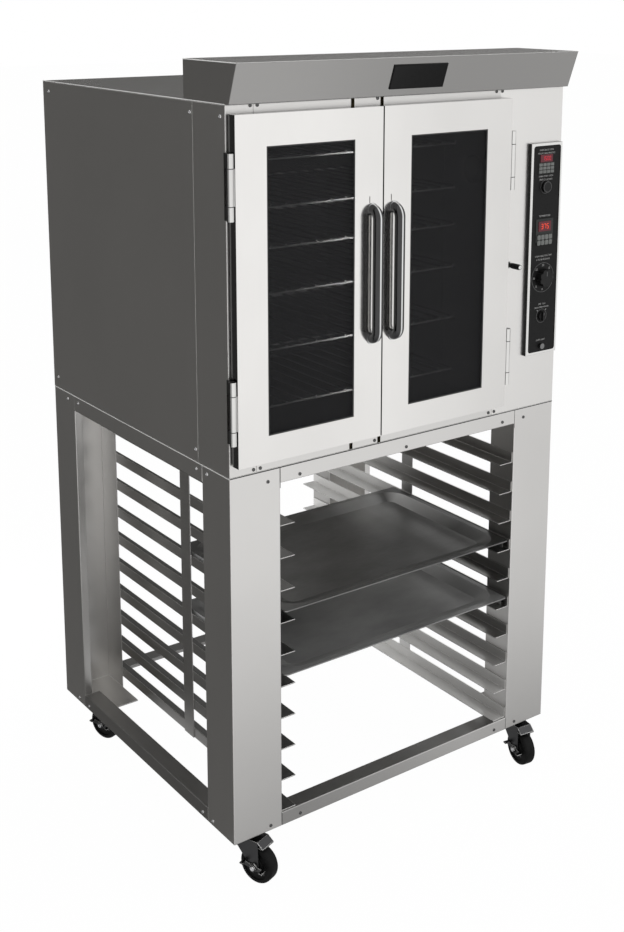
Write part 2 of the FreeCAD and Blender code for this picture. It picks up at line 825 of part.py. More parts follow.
def control_panel():
    x0 = bezel_left
    x1 = bezel_left + bezel_width
    z0 = cabinet_bottom + bezel_bottom
    z1 = z0 + bezel_height
    rim = box(x0, x1, -bezel_depth, 0, z0, z1)
    window = box(x0 + bezel_rim, x1 - bezel_rim, -2 * bezel_depth, sheet, z0 + bezel_rim, z1 - bezel_rim)
    upright_edges = [edge for edge in rim.Edges if abs(edge.CenterOfMass.y + bezel_depth) < sheet / 2]
    rim = rim.makeChamfer(face_recess, upright_edges)
    save("control_bezel", rim.cut(window))

    face = box(x0 + bezel_rim, x1 - bezel_rim, face_front, face_back, z0 + bezel_rim, z1 - bezel_rim)
    spindle_hole = spindle_radius + spindle_clearance
    plunger_hole = plunger_radius + plunger_clearance
    holes = (
        (button_height, plunger_hole),
        (light_button_height, plunger_hole),
        (dial_height, spindle_hole),
        (selector_height, spindle_hole),
    )
    bodies = []
    for height, radius in holes:
        hole = cylinder(
            radius, control_point(height, face_front - sheet), control_point(height, face_back + switch_bore))
        middle = cabinet_bottom + height
        half = switch_size / 2
        housing = box(
            control_axis - half, control_axis + half, face_back, face_back + switch_length,
            middle - half, middle + half)
        face = face.cut(hole)
        bodies.append(housing.cut(hole))
    save("control_face", face)
    save("control_fittings", *bodies, damper_bush())

    def insert(size, front):
        width, tall, height = size
        middle = cabinet_bottom + height
        return box(
            control_axis - width / 2, control_axis + width / 2, front - insert_height, front,
            middle - tall / 2, middle + tall / 2)

    raised = face_front - insert_height
    inserts = [
        insert(timer_lens, face_front),
        insert(timer_keys, face_front),
        insert(thermostat_plate, face_front),
        insert(thermostat_lens, raised),
        insert(thermostat_keys, raised),
    ]
    save("display_lenses", inserts[0], inserts[3])
    save("key_panels", inserts[1], inserts[2], inserts[4])


def push_button(node, radius, height):
    cap_back = face_front - button_travel - plunger_clearance
    cap = disc(
        radius, control_point(height, cap_back - button_cap), control_point(height, cap_back),
        small_flat_count)
    tail = face_back + switch_bore - button_travel - plunger_clearance
    half = plunger_radius * math.sqrt(0.5)
    middle = cabinet_bottom + height
    plunger = box(
        control_axis - half, control_axis + half, cap_back, tail, middle - half, middle + half)
    save(node, fused([cap, plunger]))


def knobs():
    spindle_end = face_back + switch_bore - sheet
    seat = face_front - knob_gap

    grip_top = seat - dial_grip
    lobes = []
    dial_z = cabinet_bottom + dial_height
    for i in range(dial_scallops * scallop_point_count):
        angle = 2 * math.pi * i / (dial_scallops * scallop_point_count)
        wave = (1 + math.cos(dial_scallops * angle)) / 2
        radius = dial_radius - dial_scallop_depth * wave * wave
        lobes.append((dial_z + radius * math.sin(angle), control_axis + radius * math.cos(angle)))
    grip = prism(lobes, "y", grip_top, dial_grip)
    spindle = cylinder(
        spindle_radius, control_point(dial_height, seat), control_point(dial_height, spindle_end))
    save("steam_dial", fused([grip, spindle]))

    skirt = disc(
        selector_radius, control_point(selector_height, seat - selector_length / 2),
        control_point(selector_height, seat), small_flat_count)
    middle = cabinet_bottom + selector_height
    pointer = box(
        control_axis - selector_bar / 2, control_axis + selector_bar / 2, seat - selector_length, seat,
        middle - selector_radius, middle + selector_radius)
    spindle = cylinder(
        spindle_radius, control_point(selector_height, seat), control_point(selector_height, spindle_end))
    save("power_selector", fused([skirt, pointer, spindle]))


def damper_pull():
    z = cabinet_bottom + pull_height

    def at(y):
        return Vec(pull_x, y, z)

    rod = cylinder(pull_rod_radius, at(-pull_reach + pull_knob_length / 2), at(pull_tail))
    knob = disc(pull_knob_radius, at(-pull_reach), at(-pull_reach + pull_knob_length), small_flat_count)
    save("damper_pull", fused([rod, knob]))


def damper_bush():
    z = cabinet_bottom + pull_height

    def at(y):
        return Vec(pull_x, y, z)

    collar = cylinder(bush_radius, at(-bush_length), at(0))
    hole = cylinder(pull_rod_radius + pull_clearance, at(-2 * bush_length), at(bush_length))
    return collar.cut(hole)


def stand_frame():
    t = stand_sheet
    post = bent_sheet(
        [
            (post_lip, post_depth - t),
            (t, post_depth - t),
            (t, t),
            (post_width - t, t),
            (post_width - t, post_flange),
        ],
        t, "z", stand_bottom, stand_height)
    lip_front = post_depth - t - base_plate_notch
    plate_outline = [
        (t, t),
        (post_width - t, t),
        (post_width - t, base_plate_depth),
        (post_lip + base_plate_notch, base_plate_depth),
        (post_lip + base_plate_notch, lip_front),
        (t, lip_front),
    ]
    plate = prism(plate_outline, "z", stand_bottom, base_plate)
    solids = []
    for solid in (post, plate):
        solids += [solid, mirrored_x(solid), mirrored_y(solid), mirrored_y(mirrored_x(solid))]
    save("stand_posts", *solids)

    span = cabinet_width - 2 * post_width
    run = cabinet_depth - 2 * post_depth
    front_top = bent_sheet(
        [(t, stand_top - top_rail_height), (t, stand_top - t), (top_rail_flange, stand_top - t)],
        -t, "x", post_width, span)
    rail_top = stand_bottom + bottom_rail_height
    front_bottom = bent_sheet(
        [(t, stand_bottom), (t, rail_top - t), (bottom_rail_flange, rail_top - t)],
        -t, "x", post_width, span)
    side_top = bent_sheet(
        [(stand_top - side_rail_height, t), (stand_top - t, t), (stand_top - t, top_rail_flange)],
        t, "y", post_depth, run)
    side_bottom = bent_sheet(
        [(stand_bottom, t), (rail_top - t, t), (rail_top - t, bottom_rail_flange)],
        t, "y", post_depth, run)
    rails = []
    for rail in (front_top, front_bottom):
        rails += [rail, mirrored_y(rail)]
    for rail in (side_top, side_bottom):
        rails += [rail, mirrored_x(rail)]
    save("stand_rails", *rails)


def pan_slides():
    t = stand_sheet
    wall = post_width
    length = cabinet_depth - 2 * slide_end_gap
    solids = []
    for i in range(slide_count):
        z = first_slide + i * slide_pitch
        slide = bent_sheet(
            [(z, wall + slide_flange), (z, wall + t), (z + slide_leg, wall + t)],
            t, "y", slide_end_gap, length)
        solids += [slide, mirrored_x(slide)]
    top = first_slide + (slide_count - 1) * slide_pitch + slide_leg
    upright = box(
        wall - t, wall, upright_distance, upright_distance + upright_width, first_slide - t, top)
    save("pan_slide_ladders", *solids, upright, mirrored_x(upright))


def sheet_pans():
    rim_bottom = pan_height - pan_rim_height
    floor = pan_height - pan_bowl_depth

    def basin(inset, z0, z1):
        foot = rounded_rectangle(
            pan_width - 2 * (pan_rim + pan_slope + inset), pan_depth - 2 * (pan_rim + pan_slope + inset),
            pan_corner - pan_slope, z0)
        brim = rounded_rectangle(
            pan_width - 2 * (pan_rim + inset), pan_depth - 2 * (pan_rim + inset), pan_corner, z1)
        return Part.makeLoft([foot, brim], True, True)

    outline = rounded_rectangle(pan_width, pan_depth, pan_rim_corner, rim_bottom)
    rim = Part.Face(outline).extrude(Vec(0, 0, pan_rim_height))
    # Each side edge is folded down into a runner that stands on the slide and holds the bowl up.
    runner = box(
        -pan_width / 2, pan_sheet - pan_width / 2, pan_runner_inset - pan_depth / 2,
        pan_depth / 2 - pan_runner_inset, 0, rim_bottom + pan_sheet)
    far_runner = moved(runner, pan_width - pan_sheet, 0, 0)
    body = fused([basin(0, floor - pan_sheet, pan_height), rim, runner, far_runner])
    shape = body.cut(basin(pan_sheet, floor, pan_height + pan_sheet))
    for node, below in slides_below_count.items():
        z = first_slide + below * slide_pitch + pan_clearance
        save(node, moved(shape, cabinet_width / 2, pan_front + pan_depth / 2, z))


def caster_places():
    far_x = cabinet_width - caster_inset_x
    far_y = cabinet_depth - caster_inset_y
    return {
        "front_left": (caster_inset_x, caster_inset_y),
        "front_right": (far_x, caster_inset_y),
        "rear_left": (caster_inset_x, far_y),
        "rear_right": (far_x, far_y),
    }


def caster_fork():
    # Drawn with the swivel axis at the origin and the wheel trailing along +x.
    eye = Vec(fork_trail, 0, axle_height)
    leg_outline = [
        (crown_bottom, -fork_back),
        (crown_bottom, fork_trail + fork_front),
        (axle_height, fork_trail + fork_eye_radius),
        (axle_height, fork_trail - fork_eye_radius),
    ]
    leg = prism(leg_outline, "y", leg_inner, fork_sheet)
    ear_angles = [math.radians(36 * i) for i in range(6)]
    ear_outline = [
        (axle_height - fork_eye_radius * math.sin(a), fork_trail + fork_eye_radius * math.cos(a))
        for a in ear_angles
    ]
    leg = fused([leg, prism(ear_outline, "y", leg_inner, fork_sheet)])
    other = leg.mirror(Vec(0, 0, 0), Vec(0, 1, 0))
    crown = box(-fork_back, fork_trail + fork_front, -leg_outer, leg_outer, crown_bottom, crown_top)
    lip_start = fork_trail + fork_front
    lip_outline = [
        (crown_top, lip_start),
        (crown_top - fork_lip_drop, lip_start + fork_lip_length),
        (crown_bottom - fork_lip_drop, lip_start + fork_lip_length),
        (crown_bottom, lip_start),
    ]
    lip = prism(lip_outline, "y", -leg_outer, 2 * leg_outer)
    pin_hole = cylinder(
        king_pin_radius + king_pin_clearance, Vec(0, 0, crown_bottom - sheet), Vec(0, 0, caster_height))
    lever_side = leg_outer + lever_gap + lever_sheet + lever_gap
    axle = cylinder(axle_radius, eye - Vec(0, lever_side, 0), eye + Vec(0, leg_outer, 0))
    hexagon = [
        (axle_height + axle_head_radius * math.sin(math.radians(60 * i)),
         fork_trail + axle_head_radius * math.cos(math.radians(60 * i)))
        for i in range(6)
    ]
    head = prism(hexagon, "y", -lever_side - axle_head, axle_head)
    nut = prism(hexagon, "y", leg_outer, axle_head)
    return fused([crown.cut(pin_hole), lip, leg, other, axle, head, nut])


def caster_wheel():
    tread = wheel_width / 2
    hub = wheel_hub_width / 2
    bore = axle_radius + axle_clearance

    flank = wheel_radius - wheel_shoulder / 2
    profile = [
        (-hub, wheel_hub_radius),
        (-tread, wheel_hub_radius),
        (-tread, flank),
        (wheel_shoulder / 2 - tread, wheel_radius),
        (tread - wheel_shoulder / 2, wheel_radius),
        (tread, flank),
        (tread, wheel_hub_radius),
        (hub, wheel_hub_radius),
    ]
    centre = Vec(fork_trail, 0, axle_height)
    wheel = turned(profile, round_flat_count, centre, Vec(0, 1, 0))
    hole = cylinder(bore, centre - Vec(0, 2 * hub, 0), centre + Vec(0, 2 * hub, 0))
    return wheel.cut(hole)


def brake_lever():
    back = -leg_outer - lever_gap
    front = back - lever_sheet
    pivot = Vec(fork_trail, 0, axle_height)
    bar = box(-lever_reach, lever_reach, front, back, -lever_half_height, lever_half_height)
    octagon = [
        (lever_hub_radius * math.sin(math.radians(45 * i)), lever_hub_radius * math.cos(math.radians(45 * i)))
        for i in range(8)
    ]
    hub = prism(octagon, "y", front, lever_sheet)
    tabs = []
    for x in (-lever_reach, lever_reach - lever_tab_length):
        tabs.append(box(
            x, x + lever_tab_length, front - lever_tab, back,
            lever_half_height - lever_sheet, lever_half_height))
    hole = cylinder(axle_radius + axle_clearance, Vec(0, 2 * front, 0), Vec(0, 0, 0))
    lever = fused([bar, hub] + tabs).cut(hole)
    lever.rotate(Vec(0, 0, 0), Vec(0, 1, 0), lever_tilt)
    return moved(lever, pivot.x, pivot.y, pivot.z)


def casters():
    width, depth, thickness = caster_plate_size
    plate_bottom = caster_height - thickness
    raceway_bottom = plate_bottom - raceway_height
    mount = fused([
        box(-width / 2, width / 2, -depth / 2, depth / 2, plate_bottom, caster_height),
        disc(raceway_radius, Vec(0, 0, raceway_bottom), Vec(0, 0, plate_bottom), small_flat_count),
        cylinder(king_pin_radius, Vec(0, 0, crown_bottom - king_pin_reach), Vec(0, 0, plate_bottom)),
    ])
    fork = caster_fork()
    wheel = caster_wheel()
    lever = brake_lever()
    mounts = []
    for name, (x, y) in caster_places().items():
        turn = caster_swivel[name] - 90

        def placed(shape):
            copy = shape.copy()
            copy.rotate(Vec(0, 0, 0), Vec(0, 0, 1), turn)
            copy.translate(Vec(x, y, 0))
            return copy

        mounts.append(moved(mount, x, y, 0))
        save(name + "_caster_fork", placed(fork))
        save(name + "_caster_wheel", placed(wheel))
        save(name + "_brake_lever", placed(lever))
    save("caster_plates", *mounts)


cabinet_shell()
back_of_cabinet()
front_strips()
hood()
cavity()
oven_racks()
fan_baffle()
circulation_fan()
cavity_lamp()
door("left")
door("right")
hinge_fixed_leaves()
control_panel()
push_button("timer_button", button_radius, button_height)
push_button("light_button", light_button_radius, light_button_height)
knobs()
damper_pull()
stand_frame()
pan_slides()
sheet_pans()
casters()
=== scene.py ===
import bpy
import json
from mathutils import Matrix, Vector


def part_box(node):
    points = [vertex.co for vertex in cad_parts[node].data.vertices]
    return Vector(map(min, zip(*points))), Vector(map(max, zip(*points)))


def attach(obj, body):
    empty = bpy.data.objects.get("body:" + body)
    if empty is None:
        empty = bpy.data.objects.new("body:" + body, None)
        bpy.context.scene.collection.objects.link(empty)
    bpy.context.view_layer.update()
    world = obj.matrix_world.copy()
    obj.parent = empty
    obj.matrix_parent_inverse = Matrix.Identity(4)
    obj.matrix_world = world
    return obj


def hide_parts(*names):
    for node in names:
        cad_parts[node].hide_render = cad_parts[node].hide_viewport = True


bl_info = {
    "name": "Convection oven looks",
    "version": (1, 0, 0),
    "blender": (4, 5, 0),
    "location": "3D View > Sidebar > Oven",
    "description": "Finishes, trim and studio for a two-door convection oven on a pan stand",
    "category": "Object",
}

import json
import math

import bmesh
import bpy
from bpy.props import FloatProperty, FloatVectorProperty, IntProperty, PointerProperty
from mathutils import Matrix, Vector

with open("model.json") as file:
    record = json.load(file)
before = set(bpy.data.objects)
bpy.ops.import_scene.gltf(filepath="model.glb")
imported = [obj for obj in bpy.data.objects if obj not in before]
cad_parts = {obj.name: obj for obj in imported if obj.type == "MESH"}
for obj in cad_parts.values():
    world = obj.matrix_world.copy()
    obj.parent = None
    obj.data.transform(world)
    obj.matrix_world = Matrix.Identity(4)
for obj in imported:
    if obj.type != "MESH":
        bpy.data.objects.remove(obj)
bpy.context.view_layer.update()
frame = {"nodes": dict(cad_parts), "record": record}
nodes = frame["nodes"]
joints = {joint["name"]: joint for joint in frame["record"]["behaviour"]["joints"]}
slots = {part["node"]: part["material_slot"] for part in frame["record"]["subparts"]}
MM = 0.001
ROOT = "oven_and_stand"
CORNERS = ("front_left", "front_right", "rear_left", "rear_right")
CABINET_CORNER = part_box("top_panel")[0]
# Places and sizes in millimetres, from the cabinet's left face, its front face and the floor.
CABINET_WIDTH = 946.0
CABINET_DEPTH = 851.0
CABINET_BOTTOM = 975.0
CABINET_TOP = 1757.0
HOOD_HEIGHT = 84.0
HOOD_LEAN = 30.5
HOOD_FOOT = -14.5
POST_EDGES = (127.5, 818.5)
HINGE_PINS = (-2.8, 764.9)
HINGE_PIN_DEPTH = -21.0
KNUCKLE_GAPS = (1085.25, 1161.75, 1555.25, 1631.75)
DOOR_FRONT = -27.2
HANDLE_LOW = CABINET_BOTTOM + 258.5
HANDLE_LENGTH = 285.0
HANDLE_STANDOFF = 21.1
HANDLE_BEND = 20.0
LATCH_SLITS = (("left", 344.0), ("right", 403.0))
RACK_HEIGHTS = (83.0, 214.5, 342.5, 445.5, 536.5, 642.5)
CONTROL_AXIS = 889.0
TIMER_BUTTON = 1520.5
STEAM_DIAL = 1299.0
POWER_SELECTOR = 1203.5


class OvenFinish(bpy.types.PropertyGroup):
    """Colours and gloss of the main finishes."""

    steel_colour: FloatVectorProperty(
        name="Steel", description="Brushed steel of the cabinet", subtype="COLOR", size=3, min=0, max=1,
        default=(0.68, 0.67, 0.655))
    steel_roughness: FloatProperty(
        name="Steel roughness", description="Spread of the brushed steel's reflections", min=0, max=1,
        default=0.3)
    stand_colour: FloatVectorProperty(
        name="Stand steel", description="Brushed steel of the stand", subtype="COLOR", size=3, min=0, max=1,
        default=(0.68, 0.67, 0.655))
    door_roughness: FloatProperty(
        name="Door roughness", description="Spread of the polished doors' reflections", min=0, max=1,
        default=0.16)
    pan_colour: FloatVectorProperty(
        name="Pan metal", description="Darkened aluminium of the sheet pans", subtype="COLOR", size=3,
        min=0, max=1, default=(0.2, 0.2, 0.198))
    glass_tint: FloatVectorProperty(
        name="Glass tint", description="Colour of the door glass", subtype="COLOR", size=3, min=0, max=1,
        default=(0.012, 0.012, 0.013))
    glass_cover: FloatProperty(
        name="Glass cover", description="How much one glass face hides of what is behind it", min=0, max=1,
        default=0.36)
    # The edge width also sets how wide the painted highlight and painted shade along folded edges are.
    edge_width: FloatProperty(
        name="Edge width", description="Rounding that catches light along folded edges", subtype="DISTANCE",
        unit="LENGTH", default=0.0022)


class OvenTrim(bpy.types.PropertyGroup):
    """Sizes of the small pieces."""

    screw_radius: FloatProperty(
        name="Screw head", description="Radius of a panel screw's head", unit="LENGTH", default=0.004)
    screw_height: FloatProperty(
        name="Screw height", description="Height of a panel screw's head", unit="LENGTH", default=0.0016)
    handle_radius: FloatProperty(
        name="Handle tube", description="Radius of the door handle's tube", unit="LENGTH", default=0.0118)
    handle_sides: IntProperty(
        name="Handle sides", description="Faces round the handle's tube", default=32, min=8, max=96)
    rack_bar_radius: FloatProperty(
        name="Rack bar", description="Radius of a rack's cross bars", unit="LENGTH", default=0.003)
    rack_wire_radius: FloatProperty(
        name="Rack wire", description="Radius of a rack's wires", unit="LENGTH", default=0.0022)
    rack_wires: IntProperty(name="Rack wires", description="Wires in one rack", default=17, min=3, max=40)
    wheel_radius: FloatProperty(
        name="Wheel", description="Radius of a caster wheel", unit="LENGTH", default=0.044)
    wheel_width: FloatProperty(
        name="Wheel width", description="Width of a caster wheel's tread", unit="LENGTH", default=0.03)
    digit_height: FloatProperty(
        name="Digit", description="Height of a display digit", unit="LENGTH", default=0.0112)


class OvenStage(bpy.types.PropertyGroup):
    """Camera, light and floor."""

    lens: FloatProperty(name="Lens", description="Focal length in millimetres", default=52.54)
    shift: FloatVectorProperty(
        name="Shift", description="Camera shift across and up", size=2, default=(-0.0348, -0.2189))
    stand_point: FloatVectorProperty(
        name="Camera", description="Where the camera stands, from the floor below the front left edge",
        subtype="XYZ", unit="LENGTH", size=3, default=(-1.421477, -2.306105, 1.985493))
    turn: FloatVectorProperty(
        name="Turn", description="Camera azimuth, elevation and roll in degrees", size=3,
        default=(-36.6953, 11.4169, 0.2418))
    sky: FloatProperty(name="Sky", description="Light from the surroundings", default=0.62)
    key_power: FloatProperty(name="Key", description="Power of the large front lamp in watts", default=70.0)
    flag_level: FloatProperty(
        name="Flags", description="Brightness of the dark flags in reflections", default=0.12)


def at(x, y, z):
    """A point in millimetres right of the cabinet's left face, behind its front face and above the floor."""
    return Vector((CABINET_CORNER[0] + x * MM, CABINET_CORNER[1] + y * MM, z * MM))


def clear_selection():
    if bpy.context.object and bpy.context.object.mode != "OBJECT":
        bpy.ops.object.mode_set(mode="OBJECT")
    bpy.ops.object.select_all(action="DESELECT")


def only(piece):
    clear_selection()
    piece.select_set(True)
    bpy.context.view_layer.objects.active = piece


def named(name):
    piece = bpy.context.active_object
    piece.name = name
    piece.data.name = name
    return piece


def settle(piece):
    only(piece)
    bpy.ops.object.transform_apply(location=True, rotation=True, scale=True)
    return piece


def block(name, low, high):
    """A box between two points, ready to be shaped."""
    clear_selection()
    bpy.ops.mesh.primitive_cube_add(size=1, location=(low + high) / 2)
    piece = named(name)
    piece.scale = high - low
    return settle(piece)


def round_bar(name, radius, start, end, sides):
    """A straight round bar between two points, ready to be shaped."""
    clear_selection()
    run = end - start
    bpy.ops.mesh.primitive_cylinder_add(
        vertices=sides, radius=radius, depth=run.length, location=(start + end) / 2,
        rotation=run.to_track_quat("Z", "Y").to_euler())
    return settle(named(name))


def cylinder(name, radius, depth, centre, sides, along_y=False):
    """A round block about a centre, along Z or along Y, ready to be shaped."""
    clear_selection()
    turn = (math.pi / 2, 0, 0) if along_y else (0, 0, 0)
    bpy.ops.mesh.primitive_cylinder_add(
        vertices=sides, radius=radius, depth=depth, location=centre, rotation=turn)
    return settle(named(name))


def edit(piece, mode):
    only(piece)
    bpy.ops.object.mode_set(mode="EDIT")
    bpy.ops.mesh.select_mode(type=mode)
    bpy.ops.mesh.select_all(action="DESELECT")
    return bmesh.from_edit_mesh(piece.data)


def pick_faces(piece, test):
    shape = edit(piece, "FACE")
    for face in shape.faces:
        face.select_set(test(face.calc_center_median(), face.normal))
    bmesh.update_edit_mesh(piece.data)


def pick_edges(piece, test):
    shape = edit(piece, "EDGE")
    for edge in shape.edges:
        a, b = (vert.co for vert in edge.verts)
        edge.select_set(test((a + b) / 2, (b - a).normalized()))
    bmesh.update_edit_mesh(piece.data)


def leave_edit():
    bpy.ops.object.mode_set(mode="OBJECT")


def extrude(x, y, z):
    bpy.ops.mesh.extrude_region_move(TRANSFORM_OT_translate={"value": (x, y, z)})


def bevel_edges(piece, test, offset, segments):
    """Rounds the edges that a test picks by their middle and their direction."""
    pick_edges(piece, test)
    bpy.ops.mesh.bevel(offset=offset, segments=segments)
    leave_edit()
    return piece


def soften(piece, width, segments=2):
    """Rounds every sharp edge of a piece."""
    only(piece)
    rounding = piece.modifiers.new("rounding", "BEVEL")
    rounding.width = width
    rounding.segments = segments
    rounding.limit_method = "ANGLE"
    bpy.ops.object.modifier_apply(modifier=rounding.name)
    return piece


def outward(piece):
    edit(piece, "FACE")
    bpy.ops.mesh.select_all(action="SELECT")
    bpy.ops.mesh.remove_doubles(threshold=1e-6)
    bpy.ops.mesh.normals_make_consistent(inside=False)
    leave_edit()


def hollowed(piece, rim):
    """Opens a flat piece right through along Y, so that only a rim is left."""
    pick_faces(piece, lambda mid, normal: abs(normal.y) > 0.9)
    bpy.ops.mesh.inset(thickness=rim)
    bpy.ops.mesh.bridge_edge_loops()
    leave_edit()
    outward(piece)
    return piece


def copied(piece, name, place):
    """A copy with its own mesh, set in place by a matrix."""
    twin = piece.copy()
    twin.data = piece.data.copy()
    twin.name = name
    twin.data.name = name
    bpy.context.collection.objects.link(twin)
    twin.data.transform(place)
    return twin


def joined(name, pieces):
    clear_selection()
    for piece in pieces:
        piece.select_set(True)
    bpy.context.view_layer.objects.active = pieces[0]
    bpy.ops.object.join()
    return named(name)


def discard(piece):
    bpy.data.objects.remove(piece, do_unlink=True)


def dress(piece, material, body, angle=35):
    """Gives a finished piece its material, smooth shading and body."""
    piece.data.materials.clear()
    piece.data.materials.append(material)
    only(piece)
    bpy.ops.object.shade_smooth_by_angle(angle=math.radians(angle))
    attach(piece, body)
    return piece


def facing(point, normal, turn=0.0):
    """A matrix that stands a piece made along +Z on a surface."""
    upright = Vector(normal).to_track_quat("Z", "Y").to_matrix().to_4x4()
    return Matrix.Translation(point) @ upright @ Matrix.Rotation(turn, 4, "Z")


def add(tree, kind, values=None, **settings):
    item = tree.nodes.new("ShaderNode" + kind)
    for key, value in settings.items():
        setattr(item, key, value)
    for key, value in (values or {}).items():
        item.inputs[key].default_value = value
    return item


def new_material(name, values):
    material = bpy.data.materials.new(name)
    material.use_nodes = True
    tree = material.node_tree
    shader = tree.nodes["Principled BSDF"]
    for key, value in values.items():
        shader.inputs[key].default_value = value
    return material, tree, shader


def noise(tree, stretch, detail=3.0, turn=(0, 0, 0)):
    """Noise on object coordinates, stretched along the axes."""
    place = add(tree, "TexCoord")
    mapping = add(tree, "Mapping", {"Scale": stretch, "Rotation": turn})
    texture = add(tree, "TexNoise", {"Scale": 1.0, "Detail": detail, "Roughness": 0.55})
    tree.links.new(place.outputs["Object"], mapping.inputs["Vector"])
    tree.links.new(mapping.outputs["Vector"], texture.inputs["Vector"])
    return texture.outputs["Fac"]


def spread(tree, source, low, high, start=0.3, end=0.7):
    scale = add(tree, "MapRange", {"From Min": start, "From Max": end, "To Min": low, "To Max": high})
    tree.links.new(source, scale.inputs["Value"])
    return scale.outputs["Result"]


def mixed(tree, factor, first, second):
    mix = add(tree, "Mix", data_type="RGBA")
    mix.inputs[6].default_value = (*first, 1)
    mix.inputs[7].default_value = (*second, 1)
    tree.links.new(factor, mix.inputs[0])
    return mix.outputs[2]


def bumped(tree, shader, height, strength, distance, edge=0.0):
    """Adds a fine texture, and rounds the edges where a radius is given."""
    bump = add(tree, "Bump", {"Strength": strength, "Distance": distance})
    tree.links.new(height, bump.inputs["Height"])
    if edge:
        rounding = add(tree, "Bevel", {"Radius": edge}, samples=4)
        tree.links.new(rounding.outputs["Normal"], bump.inputs["Normal"])
    tree.links.new(bump.outputs["Normal"], shader.inputs["Normal"])


def calculated(tree, operation, *terms):
    """A math node on value sockets and constants."""
    node = add(tree, "Math", operation=operation)
    for term, socket in zip(terms, node.inputs):
        if isinstance(term, float):
            socket.default_value = term
        else:
            tree.links.new(term, socket)
    return node.outputs[0]


def product(tree, first, second):
    return calculated(tree, "MULTIPLY", first, second)


def larger(tree, first, second):
    return calculated(tree, "MAXIMUM", first, second)


def band(tree, source, start, full, past, end):
    """1 between two inner values, falling to 0 at two outer ones."""
    return product(tree, spread(tree, source, 0, 1, start, full), spread(tree, source, 1, 0, past, end))


def axis_of(tree, vector, axis):
    parts = add(tree, "SeparateXYZ")
    tree.links.new(vector, parts.inputs[0])
    return parts.outputs[axis]


def blended(tree, factor, source, colour):
    """A colour socket laid over with one colour where the factor is 1."""
    mix = add(tree, "Mix", data_type="RGBA")
    mix.inputs[7].default_value = (*colour, 1)
    tree.links.new(factor, mix.inputs[0])
    tree.links.new(source, mix.inputs[6])
    return mix.outputs[2]


def painted_edge_light(tree, colour, edge):
    """Painted highlight on folded edges that face up, and painted shade on those that face down."""
    rounding = add(tree, "Bevel", {"Radius": edge}, samples=4)
    flat = add(tree, "NewGeometry")
    match = add(tree, "VectorMath", operation="DOT_PRODUCT")
    tree.links.new(rounding.outputs["Normal"], match.inputs[0])
    tree.links.new(flat.outputs["True Normal"], match.inputs[1])
    near = spread(tree, match.outputs["Value"], 1, 0, 0.86, 0.985)
    upward = axis_of(tree, rounding.outputs["Normal"], "Z")
    # Painted highlight: edge bands facing up go near white; painted shade: those facing down go near black.
    lit = product(tree, near, spread(tree, upward, 0, 1, 0.1, 0.4))
    shaded_edge = product(tree, near, spread(tree, upward, 1, 0, -0.4, -0.1))
    return blended(tree, shaded_edge, blended(tree, lit, colour, (0.95, 0.945, 0.93)), (0.06, 0.06, 0.06))


def own_normal(tree, axis):
    """One part of the normal in the piece's own frame, so that it turns with the piece."""
    return axis_of(tree, add(tree, "TexCoord").outputs["Normal"], axis)


def own_place(tree, axis):
    """One part of the place in the piece's own frame, so that it moves with the piece."""
    return axis_of(tree, add(tree, "TexCoord").outputs["Object"], axis)


def faces_front(tree, start, end):
    """1 on faces that look forward or back, 0 on a piece's edge returns."""
    return spread(tree, calculated(tree, "ABSOLUTE", own_normal(tree, "Y")), 0, 1, start, end)


def faces_up(tree):
    """1 on faces that look up."""
    return spread(tree, own_normal(tree, "Z"), 0, 1, 0.5, 0.8)


def shade(colour, factor):
    return tuple(min(1.0, part * factor) for part in colour)


GRAIN = {"x": (14, 900, 900), "y": (900, 14, 900), "z": (900, 900, 14)}


def brushed_metal(
        name, colour, roughness, along, grain=0.025, cloud=0.02, edge=0.0, sides=None, front=None, low=None,
        metallic=1.0):
    """Brushed metal: fine lines along one axis, a slow cloudiness and, where an edge radius is given, rounded
    edges with a painted highlight where they face up and painted shade where they face down.

    Where they are given, sides is the level of painted shade on the edge returns, front the factor of painted
    shade on faces that look forward, and low the height below which painted shade darkens the metal, more so
    on top and on the left."""
    material, tree, shader = new_material(name, {"Metallic": metallic, "Specular IOR Level": 0.5})
    lines = noise(tree, GRAIN[along], detail=2.0)
    clouds = noise(tree, (3.2, 3.2, 3.2), detail=3.0)
    base = mixed(tree, spread(tree, clouds, 0, 1), shade(colour, 1 - cloud), shade(colour, 1 + cloud))
    if front:
        # Painted shade: faces that look forward darken by the factor front.
        forward = spread(tree, own_normal(tree, "Y"), 1, 0, -0.8, -0.5)
        base = blended(tree, forward, base, shade(colour, front))
    if low:
        # Painted shade low down: darker towards the left below the given height, and darker still on faces
        # that look up.
        below = spread(tree, own_place(tree, "Z"), 1, 0, low, low + 0.05)
        leftward = spread(tree, own_place(tree, "X"), 1, 0, -0.3, 0.35)
        base = blended(tree, product(tree, below, leftward), base, shade(colour, 0.62))
        base = blended(tree, product(tree, below, faces_up(tree)), base, shade(colour, 0.46))
    if sides:
        # Painted shade: edge returns, faces that look neither forward nor back, turn the grey level sides.
        painted_return_shade = calculated(tree, "SUBTRACT", 1.0, faces_front(tree, 0.45, 0.75))
        base = blended(tree, painted_return_shade, base, (sides, sides, sides))
    elif edge:
        # Painted highlight and painted shade along the folded edges.
        base = painted_edge_light(tree, base, edge)
    tree.links.new(base, shader.inputs["Base Color"])
    tree.links.new(
        spread(tree, lines, roughness - grain, roughness + grain), shader.inputs["Roughness"])
    bumped(tree, shader, lines, 0.02, 0.0001, edge)
    return material


